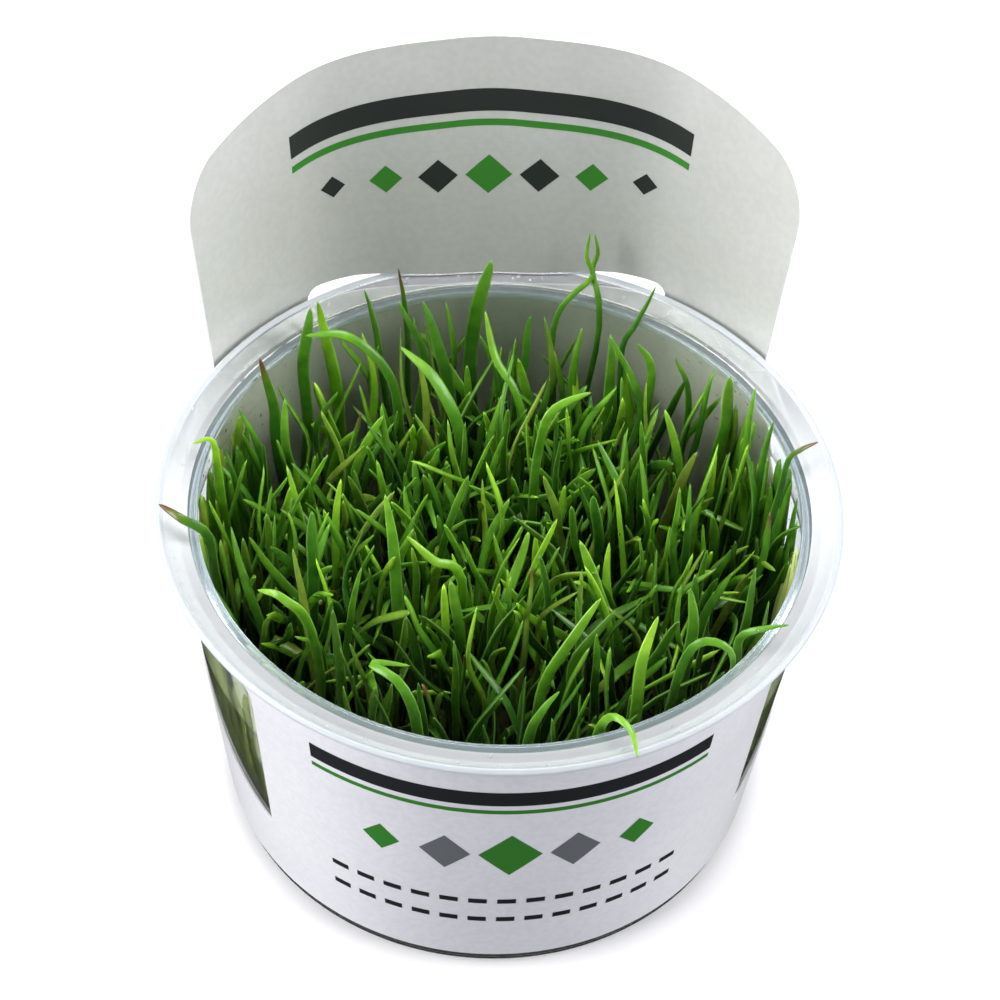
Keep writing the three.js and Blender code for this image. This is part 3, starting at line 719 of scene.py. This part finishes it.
# %% A smooth curve through a leaf's bends
def curve_points(route, places):
    """Points of the Catmull-Rom curve through the route at places from 0 to 1, as an array."""
    route = np.asarray(route, float)
    padded = np.vstack([2 * route[0] - route[1], route, 2 * route[-1] - route[-2]])
    spans = len(route) - 1
    t = np.clip(np.asarray(places, float), 0, 1) * spans
    span = np.minimum(t.astype(int), spans - 1)
    t = (t - span)[:, None]
    before, start, end, after = (padded[span + k] for k in range(4))
    leaving, arriving = 0.5 * (end - before), 0.5 * (after - start)
    return (
        start + leaving * t + (-3 * start + 3 * end - 2 * leaving - arriving) * t**2
        + (2 * start - 2 * end + leaving + arriving) * t**3
    )


# %% The CAD part's growth recipe
PLANTLETS, ROOTING_RADIUS, ROOTING_SPACING = 56, 36, 7.6
LEAVES_EACH, LEAF_TRIES, LEAF_GAP, FOOT_STATIONS = 5, 24, 0.35, 3
SOIL_GAP, CROWN_HEIGHT, FOOT_REACH, BLADE_THICKNESS = 0.3, 2.2, 1.4, 0.55
CROWN_TOP = GEL_TOP + SOIL_GAP + CROWN_HEIGHT
FRONTWARD = (0, -0.67, 0.74)
NEAR_MOUTH, BENDS = CUP_HEIGHT - 4, (0, 0.35, 0.7, 1)
STATIONS = np.linspace(0, 1, 25)
REACHES = 0.5 * np.minimum(np.minimum(0.3 + 1.5 * STATIONS, 1), 4 * (1 - STATIONS))


def sector_angle(turn, sector):
    return turn + 2 * math.pi * sector / LEAVES_EACH


def leaf_foot(crown, turn, sector):
    angle = sector_angle(turn, sector)
    return (crown[0] + FOOT_REACH * math.cos(angle), crown[1] + FOOT_REACH * math.sin(angle), CROWN_TOP)


def make_leaf(route, width, front, **looks):
    points = curve_points(route, STATIONS)
    reach = REACHES * width
    low, high = (points - reach[:, None]).min(0), (points + reach[:, None]).max(0)
    return {"route": route, "width": width, "front": front, "points": points, "reach": reach,
            "low": low, "high": high, **looks}


def bowing_route(foot, heading, length, lean, bow, sway, places=BENDS):
    """The way of a leaf that leans, then bows over more towards its tip."""
    ahead = np.array([math.cos(heading), math.sin(heading), 0])
    aside = np.array([-ahead[1], ahead[0], 0])
    up = np.array([0, 0, 1])
    return [
        np.array(foot) + up * length * (u - 0.6 * bow * u**3) + ahead * length * (lean * u + bow * u**3)
        + aside * sway * math.sin(math.pi * u)
        for u in places
    ]


def grown_leaf(crown, turn, sector):
    heading = sector_angle(turn, sector) + between(-0.5, 0.5)
    length = between(27, 45)
    lean = between(0.02, 0.2)
    bow = between(0, 0.3) * random()
    sway = between(-1.2, 1.2)
    facing = between(-1.3, 1.3)
    width = between(1.5, 2.7)
    front = np.array([math.sin(facing), -math.cos(facing), 0.3])
    route = bowing_route(leaf_foot(crown, turn, sector), heading, length, lean, bow, sway)
    return make_leaf(route, width, front / np.linalg.norm(front))


def inside_cup(leaf, spare=2 * LEAF_GAP):
    x, y, z = leaf["points"].T
    bore = bore_radius(z) if spare > LEAF_GAP else inner_radius(z)
    opening = np.where(z > NEAR_MOUTH, MOUTH_RADIUS, bore)
    return bool((np.hypot(x, y) + leaf["reach"] + spare < opening).all())


def near(leaf, other, spare):
    return bool((leaf["low"] - spare < other["high"]).all() and (other["low"] - spare < leaf["high"]).all())


def keeps_clear(leaf, other, first, gap=LEAF_GAP, share=1.0):
    """Whether two leaves stay apart, from a station of each upwards."""
    if not near(leaf, other, gap):
        return True
    apart = np.linalg.norm(leaf["points"][first:, None] - other["points"][None, first:], axis=2)
    return bool((apart > share * (leaf["reach"][first:, None] + other["reach"][None, first:]) + gap).all())


# %% Set out the crowns and grow the CAD part's leaves
plants = []
for number, (crown, leaves) in enumerate(STANDING_OUT):
    headings = [math.atan2(leaf[1][1] - crown[1], leaf[1][0] - crown[0]) for leaf in leaves]
    plant = {"crown": crown, "turn": headings[0], "leaves": [None] * LEAVES_EACH}
    for i, (heading, (width, *bends)) in enumerate(zip(headings, leaves)):
        free = [s for s in range(LEAVES_EACH) if plant["leaves"][s] is None]
        sector = max(free, key=lambda s: math.cos(sector_angle(plant["turn"], s) - heading))
        route = [leaf_foot(crown, plant["turn"], sector)] + [(x, y, CUP_HEIGHT + z) for x, y, z in bends]
        looks = {"tone": STANDING_TONES[number][i], "dry": float((number, i) in DRY_TIPS), "standing": True}
        plant["leaves"][sector] = make_leaf(route, width, np.array(FRONTWARD), **looks)
    plants.append(plant)
while len(plants) < PLANTLETS:
    radius = ROOTING_RADIUS * math.sqrt(random())
    angle = 2 * math.pi * random()
    crown = (radius * math.cos(angle), radius * math.sin(angle))
    if all(math.dist(crown, plant["crown"]) > ROOTING_SPACING for plant in plants):
        plants.append({"crown": crown, "turn": angle, "leaves": [None] * LEAVES_EACH})
for sector in range(LEAVES_EACH):
    for plant in plants:
        for attempt in range(LEAF_TRIES):
            if plant["leaves"][sector]:
                break
            leaf = grown_leaf(plant["crown"], plant["turn"], sector)
            clear = inside_cup(leaf) and all(
                keeps_clear(leaf, other, FOOT_STATIONS if plant is neighbour else 0)
                for neighbour in plants for other in neighbour["leaves"] if other
            )
            if clear:
                plant["leaves"][sector] = leaf
for plant in plants:
    plant["leaves"] = [leaf for leaf in plant["leaves"] if leaf]
print("leaves of the CAD part:", sum(len(plant["leaves"]) for plant in plants))

# %% [markdown]
# ## The crowd of small leaves
# Between the leaves of the CAD part the real stand is packed with thinner, shorter ones. They grow
# from the same crowns by the same recipe, with more bow and curl, and some of them press against
# the cup's wall, where they show through the windows. Old and yellowed leaves lie among them.

# %% A small leaf of the crowd
random = seeded(77)
FRONT_BED, CROWD_PLACES = -9, (0, 0.25, 0.5, 0.75, 1)
# Shares of the leaves, first among those in front and then among the others
SHORT, CURLED, LEANING, FOLDED = (0.55, 0.2), (0.4, 0.2), (0.4, 0.2), (0.35, 0.15)


def unit(vector):
    return np.array(vector) / np.linalg.norm(vector)


def kinked(route, length):
    """The same leaf, folded over at about two thirds of its way."""
    kink = np.array(route[2])
    incoming = unit(kink - route[1])
    turn, droop = between(0, 2 * math.pi), between(-0.9, 0.35)
    onward = np.array([math.cos(turn) * math.cos(droop), math.sin(turn) * math.cos(droop), math.sin(droop)])
    reach = length * between(0.14, 0.3)
    end = kink + reach * onward + (0, 0, -0.1 * reach)
    return [route[0], route[1], kink - incoming, kink + 0.9 * onward, end]


def crowd_leaf(crown):
    """At the back the leaves stand close and upright; in front they bend over a bed of short, dark ones:
    painted shade.
    """
    in_front, on_right = crown[1] < FRONT_BED, crown[0] > 0

    def chance(shares):
        return random() < shares[0 if in_front else 1]

    heading, reach = between(0, 2 * math.pi), between(1.2, 4.5)
    foot = (crown[0] + reach * math.cos(heading), crown[1] + reach * math.sin(heading), GEL_TOP + 0.2)
    short = chance(SHORT)
    length = between(12, 27) if short else between(31, 46)
    curl = between(0.3, 0.9) if chance(CURLED) else between(0, 0.2)
    lean = between(0.2, 0.5) if chance(LEANING) else between(0, 0.18)
    route = bowing_route(foot, heading + between(-0.9, 0.9), length, lean, curl, between(-4, 4), CROWD_PLACES)
    for k in (2, 3, 4):
        jitter = np.array([between(-1, 1), between(-1, 1), 0.2 * between(-1, 1)])
        route[k] = route[k] + jitter * 0.04 * length
    if chance(FOLDED):
        route = kinked(route, length)
    front = unit([between(-1, 1), between(-1, 0.3), 0.35])
    # Short leaves, and most tall ones in front, take a dark tone: painted shade deep in the stand.
    tone = between(0, 0.12) if short else between(0.4, 1) if on_right else between(0.25, 0.95)
    if in_front and not short:
        tone = between(0.7, 1) if random() < (0.15 if on_right else 0.4) else between(0, 0.25)
    return make_leaf(route, between(1.0, 1.8), front, crowd=True, tone=tone)


# %% Grow the crowd
CROWD_EACH, CROWD_EACH_FRONT, CROWD_TRIES, MOST_LEAVES = 14, 7, 10, 4000
grown = [leaf for plant in plants for leaf in plant["leaves"]]
lows, highs = np.zeros((MOST_LEAVES, 3)), np.zeros((MOST_LEAVES, 3))
for i, leaf in enumerate(grown):
    lows[i], highs[i] = leaf["low"], leaf["high"]


def room_for(leaf, first, gap, share, wall_too=True):
    """Whether a leaf keeps clear of all that has grown; only those whose boxes touch its box are tried."""
    count = len(grown)
    touching = (lows[:count] - gap < leaf["high"]).all(1) & (leaf["low"] - gap < highs[:count]).all(1)
    others = (grown[i] for i in np.flatnonzero(touching))
    return all(keeps_clear(leaf, other, first, gap, share)
               for other in others if wall_too or not other.get("wall"))


def plant_out(leaf, plant):
    plant["leaves"].append(leaf)
    lows[len(grown)], highs[len(grown)] = leaf["low"], leaf["high"]
    grown.append(leaf)


for turn in range(CROWD_EACH):
    for plant in plants:
        if turn >= CROWD_EACH_FRONT and plant["crown"][1] < FRONT_BED:
            continue
        for attempt in range(CROWD_TRIES):
            leaf = crowd_leaf(plant["crown"])
            if inside_cup(leaf, 0.3) and room_for(leaf, 4, 0, 0.5):
                plant_out(leaf, plant)
                break
print("leaves with the crowd:", len(grown))

# %% Leaves that stand flat against the cup's wall, behind the windows
WALL_LEAVES, WALL_INSETS = 180, (0.6, 1.4)
WINDOW_FROM, WINDOW_TO, PRESSED_TO = 44, 122, 88


def wall_leaf(angle, inset, **looks):
    along = np.array([-math.sin(angle), math.cos(angle), 0])
    outward = np.array([math.cos(angle), math.sin(angle), 0])
    length, drift, width = between(27, 42), between(-3, 3), between(2.0, 3.4)
    route = []
    for u in BENDS:
        z = GEL_TOP + 0.3 + length * u
        radius = float(inner_radius(z)) - inset - 1.2 * (1 - u) ** 3
        route.append(outward * radius + along * drift * u * u + (0, 0, z))
    return make_leaf(route, width, outward + 0.25 * along * between(-1, 1), wall=True, **looks)


for inset in WALL_INSETS:
    for k in range(WALL_LEAVES):
        angle = 2 * math.pi * (k + between(0, 0.8)) / WALL_LEAVES
        from_front = math.degrees(math.atan2(math.cos(angle), -math.sin(angle)))
        # Leaves at the left window's front edge take tone 1: a near-white painted reflection streak.
        reflection_streak = {"tone": 1} if -LEFT_EDGE - 5 < from_front < -LEFT_EDGE + 2 else {}
        leaf = wall_leaf(angle, inset, pressed=abs(from_front) < PRESSED_TO, **reflection_streak)
        if WINDOW_FROM < abs(from_front) < WINDOW_TO and room_for(leaf, 0, 0, 0.3, wall_too=False):
            plant_out(leaf, min(plants, key=lambda plant: math.dist(plant["crown"], leaf["points"][0][:2])))
print("leaves in all:", len(grown))

# %% [markdown]
# ## From a leaf's curve to its blade
# A blade is a closed tube of lens-shaped rings. It is made from arrays of points rather than by
# hand, because a thousand blades of different shape are needed. Each carries its own numbers along
# as attributes: how far up a point is, how bright and how yellow the leaf is, and how dry its tip.

# %% Closed tubes of rings, for blades, crowns and drops
RING, RINGS, CAD_SLIMMED = 8, 17, 0.62
RING_ANGLES = np.arange(RING) * 2 * np.pi / RING


def tube_faces(sides, rings, tipped):
    """Faces of a tube whose foot is flat, and whose top is one last point or flat as well."""
    last = (rings - 1) * sides
    faces = [(k + j, k + (j + 1) % sides, k + sides + (j + 1) % sides, k + sides + j)
             for k in range(0, last, sides) for j in range(sides)]
    if tipped:
        faces += [(last + j, last + (j + 1) % sides, rings * sides) for j in range(sides)]
    else:
        faces.append(tuple(range(last, last + sides)))
    return faces + [tuple(reversed(range(sides)))]


# %% One blade as vertices and faces
def blade(leaf):
    u = 1 - (1 - np.linspace(0, 1, RINGS + 1)) ** 1.25
    centre = curve_points(leaf["route"], u)
    steps = np.linalg.norm(np.diff(centre, axis=0), axis=1)
    along = np.append(0, np.cumsum(steps)) / steps.sum()
    ahead = np.gradient(centre, axis=0)
    ahead /= np.linalg.norm(ahead, axis=1, keepdims=True)
    across = np.cross(ahead, leaf["front"])
    across /= np.linalg.norm(across, axis=1, keepdims=True)
    forward = np.cross(across, ahead)
    most = 0.6 if leaf.get("standing") else 0.2 if leaf.get("wall") else 1.6
    twist = between(-most, most) * along**2
    side = across * np.cos(twist)[:, None] + forward * np.sin(twist)[:, None]
    face = forward * np.cos(twist)[:, None] - across * np.sin(twist)[:, None]
    taper = between(0.62, 0.88)
    upper = np.clip((along - taper) / (1 - taper), 0, 1)
    outline = np.minimum(0.45 + 1.4 * along, 1) * (1 - upper ** between(1.5, 2.3)) ** 0.55
    slimmer = 1 if leaf.get("crowd") or leaf.get("wall") else CAD_SLIMMED
    half = 0.5 * slimmer * leaf["width"] * np.maximum(outline, 0.02)
    thick = 0.55 * BLADE_THICKNESS * (1 + np.maximum(0, 1 - 2 * along)) * (1 - upper**3) ** 0.6
    fold = between(0.1, 0.4)
    fade = np.minimum(1, 5 * (1 - along))
    waver = [between(0.1, 0.32) * np.sin(between(0, 6.28) + between(5, 16) * along) * fade for _ in range(2)]
    centre = centre + face * (waver[0] - 0.8 * thick)[:, None] + side * waver[1][:, None]
    rings = []
    for k in range(RINGS):
        lift = np.sin(RING_ANGLES) * thick[k] + fold * half[k] * np.abs(np.cos(RING_ANGLES))
        rings.append(centre[k] + np.outer(np.cos(RING_ANGLES) * half[k], side[k]) + np.outer(lift, face[k]))
    leaf["skin"] = (centre, side, face, half, thick + fold * half * 0.3)
    height = np.append(np.repeat(along[:RINGS], RING), 1)
    edge = np.append(np.tile(np.abs(np.cos(RING_ANGLES)), RINGS), 0)
    return np.vstack(rings + [centre[-1:]]), tube_faces(RING, RINGS, True), height, edge


# %% A crown: a short pale stem that stands in the gel
CROWN_RINGS = [(GEL_TOP + 0.05, 0.7), (GEL_TOP + 0.9, 1.7), (CROWN_TOP - 0.4, 1.8), (CROWN_TOP + 0.8, 0.9)]


def crown_stem(crown):
    vertices = [(crown[0] + r * math.cos(a), crown[1] + r * math.sin(a), z)
                for z, r in CROWN_RINGS for a in RING_ANGLES]
    unmarked = np.zeros(len(vertices))
    return np.array(vertices), tube_faces(RING, len(CROWN_RINGS), False), unmarked, unmarked


# %% [markdown]
# ## Leaf green
# The blades are waxy and let some light through, so a Principled shader is mixed with a little
# Translucent. Their colour runs from a pale foot through dark green to a bright tip: the dark green
# low down is painted shade deep in the stand, and the bright tip is painted light. Each leaf has its
# own brightness and yellowness, lighter margins and a fine mottle. Those pressed flat against the wet
# wall have no shine, are painted paler than the rest as painted light, and show through the windows
# as olive streaks.

# %% The three leaf materials
def leaf_marks(tree):
    """A leaf's own numbers: its tone, the way up it, how yellow and how dry it is, and its margin."""
    marks = node(tree, "ShaderNodeAttribute", attribute_name="leaf").outputs
    parts = node(tree, "ShaderNodeSeparateColor", {"Color": marks["Color"]}).outputs
    edge = node(tree, "ShaderNodeAttribute", attribute_name="edge").outputs["Fac"]
    return parts["Red"], parts["Green"], parts["Blue"], marks["Alpha"], edge


def leaf_green(name, low, middle, high):
    material, tree, shader = principled(name, Roughness=0.38, IOR=1.42, Coat_Weight=0.4, Coat_Roughness=0.13)
    tone, way_up, yellow, dry, edge = leaf_marks(tree)
    # Up the blade: the dark part low down is painted shade deep in the stand, the bright tip is painted light;
    # the pale foot is the leaf's own.
    body = ramp(tree, way_up, (0, (0.14, 0.18, 0.06)), (0.12, low), (0.4, tuple(1.5 * c for c in low)),
                (0.72, middle), (0.95, high))
    brightness = ramp(tree, tone, (0, (0.15, 0.18, 0.16)), (0.25, (0.36, 0.38, 0.37)), (0.5, (0.5, 0.5, 0.5)),
                      (1, (1.0, 0.76, 0.5)))
    bright = times(tree, body, times(tree, brightness, (2, 2, 2)))
    yellowed = colour_mix(tree, yellow, bright, (0.30, 0.38, 0.05))
    mottle = noise(tree, scale=420, detail=2)
    patchy = times(tree, yellowed, ramp(tree, mottle, (0.3, (0.72, 0.78, 0.7)), (0.7, (1.2, 1.12, 1.1))))
    margined = colour_mix(tree, mapped(tree, edge, from_min=0.75, to_max=0.35), patchy, (0.40, 0.62, 0.16))
    tip = mapped(tree, way_up, from_min=0.88, from_max=0.97)
    browned = node(tree, "ShaderNodeMath", {0: tip, 1: dry}, operation="MULTIPLY").outputs["Value"]
    colour = colour_mix(tree, browned, margined, (0.16, 0.085, 0.03))
    tree.links.new(colour, shader.inputs["Base Color"])
    add_bump(tree, shader, mottle, strength=0.25, distance=0.0002)
    glow = node(tree, "ShaderNodeBsdfTranslucent", {"Color": times(tree, colour, (1.3, 1.5, 0.6))})
    mixed = node(tree, "ShaderNodeMixShader", {"Fac": 0.22, 1: shader.outputs["BSDF"], 2: glow.outputs["BSDF"]})
    tree.links.new(mixed.outputs["Shader"], tree.nodes["Material Output"].inputs["Surface"])
    return material


LEAF_SLOTS = ["leaf_mid_green", "leaf_bright_green", "leaf_dark_green"]
leaf_paints = [
    leaf_green("leaf_mid_green", (0.018, 0.07, 0.007), (0.06, 0.24, 0.015), (0.15, 0.41, 0.028)),
    leaf_green("leaf_bright_green", (0.026, 0.09, 0.009), (0.10, 0.34, 0.018), (0.22, 0.50, 0.04)),
    leaf_green("leaf_dark_green", (0.013, 0.055, 0.006), (0.042, 0.19, 0.013), (0.10, 0.32, 0.024)),
]

# %% The finish of the pressed leaves
pressed_leaf, tree, shader = principled("pressed_leaf", Roughness=0.8, Specular_IOR_Level=0.1)
tone, *_, edge = leaf_marks(tree)
# The whole ramp is far paler than the leaves inside: painted light, for the light through the windows.
body = ramp(tree, tone, (0, (0.31, 0.39, 0.08)), (0.6, (0.48, 0.58, 0.15)), (0.95, (0.58, 0.70, 0.24)),
            (1, (0.80, 0.87, 0.58)))
margined = colour_mix(tree, mapped(tree, edge, from_min=0.6, to_max=0.3), body, (0.18, 0.21, 0.05))
tree.links.new(margined, shader.inputs["Base Color"])

# %% Gather the plantlets into tufts, three of each green
random = seeded(911)
TUFTS_EACH, DRY_SHARE, FRONT_SHADE = 3, 0.015, (0.5, 0.35)
tufts = {}
for number, plant in enumerate(plants):
    turn = math.atan2(plant["crown"][1], plant["crown"][0]) % (2 * math.pi)
    third = int(turn / (2 * math.pi) * TUFTS_EACH)
    tufts.setdefault((number % len(LEAF_SLOTS), third), []).append(number)


def looks_of(leaf, crown):
    """A leaf's tone, yellowness and dryness; leaves on crowns in front are darkened, as painted shade."""
    tone, yellow, dry = between(0.05, 0.95), max(0, between(-4, 1)) * 0.7, float(random() < DRY_SHARE)
    if leaf and leaf.get("standing"):
        return leaf["tone"], 0, leaf["dry"]
    if leaf and "tone" in leaf:
        return leaf["tone"], yellow, dry
    # Leaves on crowns in front are darkened, more on the right: painted shade.
    return tone * (FRONT_SHADE[crown[0] > 0] if crown[1] < FRONT_BED else 1), yellow, dry


for (shade, third), numbers in sorted(tufts.items()):
    vertices, faces, marks, edges, at_wall, count = [], [], [], [], [], 0
    for plant in (plants[number] for number in numbers):
        for leaf in [None] + plant["leaves"]:
            points, polygons, along, edge = crown_stem(plant["crown"]) if leaf is None else blade(leaf)
            tone, yellow, dry = looks_of(leaf, plant["crown"])
            at_wall += [int(bool(leaf and leaf.get("pressed")))] * len(polygons)
            vertices.append(points)
            faces += [tuple(i + count for i in face) for face in polygons]
            marks.append([(tone, way_up, yellow, dry) for way_up in along])
            edges.append(edge)
            count += len(points)
    name = LEAF_SLOTS[shade].replace("leaf_", "tuft_") + f"_{third + 1}"
    tuft = from_points(name, np.vstack(vertices), faces, leaf_paints[shade], pressed_leaf)
    attribute = tuft.data.attributes.new("leaf", "FLOAT_COLOR", "POINT")
    attribute.data.foreach_set("color", np.vstack(marks).ravel())
    attribute = tuft.data.attributes.new("edge", "FLOAT", "POINT")
    attribute.data.foreach_set("value", np.concatenate(edges))
    tuft.data.shade_smooth()
    tuft.data.polygons.foreach_set("material_index", at_wall)
    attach(tuft, "root")
    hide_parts(*[f"plantlet_{number + 1:02d}" for number in numbers])
    print(name, len(numbers), "plantlets,", triangles(tuft), "triangles")


# %% [markdown]
# ## The print
# The real card is printed in charcoal and green. Here a plain design of bands and lozenges stands
# in its place. Each mark is a small grid, cut to its outline and laid on the card's coated face:
# the back panel's inner face, which looks forward, and the front label's outer face.

# %% Inks
def make_ink(name, colour):
    return principled(name, Base_Color=(*colour, 1), Roughness=0.35, Coat_Weight=0.2)[0]


charcoal_ink = make_ink("charcoal_ink", (0.025, 0.027, 0.03))
green_ink = make_ink("green_ink", (0.045, 0.24, 0.03))
grey_ink = make_ink("grey_ink", (0.16, 0.17, 0.18))

# %% One printed mark, from a flat grid to the wrapped card
PRINT_LIFT, BAND_COLUMNS = 0.03, 60
printed_marks = []


def printed(name, ink, columns, place, inner):
    """place(s, t) gives the angle and height of a point of the mark, s and t running from 0 to 1."""
    nothing_selected()
    bpy.ops.mesh.primitive_grid_add(x_subdivisions=columns, y_subdivisions=1, size=1)
    mark = bpy.context.object
    for vertex in mark.data.vertices:
        angle, z = place(vertex.co.x + 0.5, vertex.co.y + 0.5)
        vertex.co = on_card(angle, z, -PRINT_LIFT if inner else CARD_THICKNESS + PRINT_LIFT)
    if inner:
        edit_all(mark, (bpy.ops.mesh.flip_normals, {}))
    settle(mark, name, ink)
    bpy.ops.object.shade_smooth()
    printed_marks.append(mark)


def front_band(name, ink, half_angle, low, high):
    printed(name, ink, BAND_COLUMNS, lambda s, t: ((2 * s - 1) * half_angle, low + (high - low) * t), False)


def arch_band(name, ink, half_angle, below, height):
    """A band that follows the arched top edge of the back panel."""
    def place(s, t):
        from_back = (1 - 2 * s) * half_angle
        z = panel_arch(from_back) - below - height * (1 - t)
        return (180 - abs(from_back)) * (1 if from_back >= 0 else -1), z
    printed(name, ink, BAND_COLUMNS, place, True)


def lozenge(name, ink, angle, z, half_wide, half_tall, inner):
    radius = card_radius(abs(angle), z)

    def place(s, t):
        reach = 1 - abs(2 * s - 1)
        return angle + (2 * s - 1) * math.degrees(half_wide / radius), z + (2 * t - 1) * half_tall * reach
    printed(name, ink, 12, place, inner)


def dash(name, ink, middle, low, wide, tall):
    printed(name, ink, 4, lambda s, t: (middle + (s - 0.5) * wide, low + tall * t), False)


# %% Print both faces
arch_band("back_band_dark", charcoal_ink, half_angle=34, below=9, height=4)
arch_band("back_band_green", green_ink, half_angle=34, below=14.4, height=1.2)
front_band("front_band_dark", charcoal_ink, half_angle=37, low=47, high=50.6)
front_band("front_band_green", green_ink, half_angle=37, low=44.8, high=45.8)
for k in range(-3, 4):
    size = 3.6 - 0.55 * abs(k)
    angle = 180 - 9 * abs(k) if k <= 0 else -180 + 9 * k
    lozenge(f"back_lozenge_{k + 4}", charcoal_ink if k % 2 else green_ink, angle, 78, size, size, True)
for k in range(-2, 3):
    size = 4.6 - 0.9 * abs(k)
    lozenge(f"front_lozenge_{k + 3}", grey_ink if k % 2 else green_ink, 12 * k, 33, size, 1.25 * size, False)
for row, low in enumerate((18.5, 13)):
    for k in range(13):
        dash(f"front_dash_{row + 1}_{k + 1:02d}", charcoal_ink, (k - 6) * 5.6, low, wide=3.6, tall=1.3)
nothing_selected()
for mark in printed_marks:
    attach(mark, "root")
print("printed marks:", len(printed_marks))

# %% [markdown]
# ## Condensation
# A sealed cup of plants sweats, so small drops cling to its inner wall, its flange and the leaves.
# A drop is a low dome of three rings of points. Hundreds of them are laid along their surfaces and
# joined, since a sphere squashed by hand for each would have far more faces than can be seen.

# %% One drop, and many of them as a piece
water, *_ = principled("water_drops", Base_Color=(1, 1, 1, 1), Roughness=0.0, IOR=1.33, Transmission_Weight=1.0)
DOME_RINGS, DOME_SIDES = [(0.0, 1.0), (0.45, 0.88), (0.8, 0.55)], 9
DOME_ANGLES = [2 * math.pi * k / DOME_SIDES for k in range(DOME_SIDES)]
DOME_FACES = tube_faces(DOME_SIDES, len(DOME_RINGS), True)


def dome(centre, normal, radius, height):
    """The points of one drop, its flat side towards the wall."""
    normal = Vector(normal).normalized()
    side = normal.orthogonal().normalized()
    other = normal.cross(side)
    rings = [centre + normal * height * up + (side * math.cos(a) + other * math.sin(a)) * radius * out
             for up, out in DOME_RINGS for a in DOME_ANGLES]
    return rings + [centre + normal * height]


def scattered_drops(name, places):
    vertices, faces = [], []
    for place in places:
        faces += [tuple(i + len(vertices) for i in face) for face in DOME_FACES]
        vertices += dome(*place)
    drops = from_points(name, vertices, faces, water)
    only(drops)
    bpy.ops.object.shade_smooth_by_angle(angle=math.radians(50))
    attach(drops, "root")
    print(name, len(places), "drops,", triangles(drops), "triangles")


# %% Drops on the wall and on the flange
random = seeded(5150)
WALL_DROPS, FLANGE_DROPS, LEAF_DROPS = 520, 260, 380

wall_drops = []
for _ in range(WALL_DROPS):
    angle, z = between(0, 360), 40 + 15 * math.sqrt(random())
    turn = math.radians(angle)
    radius = 0.08 + 0.28 * random() ** 3
    outward = Vector((math.sin(turn), -math.cos(turn), 0))
    wall = outward * (float(inner_radius(z)) - 0.02) + Vector((0, 0, z))
    wall_drops.append((wall, -outward + Vector((0, 0, BORE_SLOPE)), radius, 0.25 * radius))
scattered_drops("wall_drops", wall_drops)

flange_drops = []
for _ in range(FLANGE_DROPS):
    turn, radius = between(0, 2 * math.pi), LID_SEAT_RADIUS + 0.8 + between(0, 2.4)
    size = 0.07 + 0.26 * random() ** 4
    spot = Vector((radius * math.cos(turn), radius * math.sin(turn), flange_top(radius) + 0.28))
    flange_drops.append((spot, (0, 0, 1), size, 0.4 * size))
scattered_drops("flange_drops", flange_drops)

# %% Drops on the leaves
leaf_drops = []
wet = [leaf for plant in plants for leaf in plant["leaves"] if not leaf.get("wall")]
for _ in range(LEAF_DROPS):
    centre, side, face, half, rise = wet[int(random() * len(wet))]["skin"]
    k = 8 + int(random() * (RINGS - 11))
    sign = 1 if (face[k] * FRONTWARD).sum() > 0 else -1
    spot = centre[k] + side[k] * half[k] * between(-0.6, 0.6) + face[k] * sign * rise[k] * 0.9
    size = 0.1 + 0.22 * random() ** 3
    leaf_drops.append((Vector(spot), tuple(sign * face[k]), size, 0.7 * size))
scattered_drops("leaf_drops", leaf_drops)
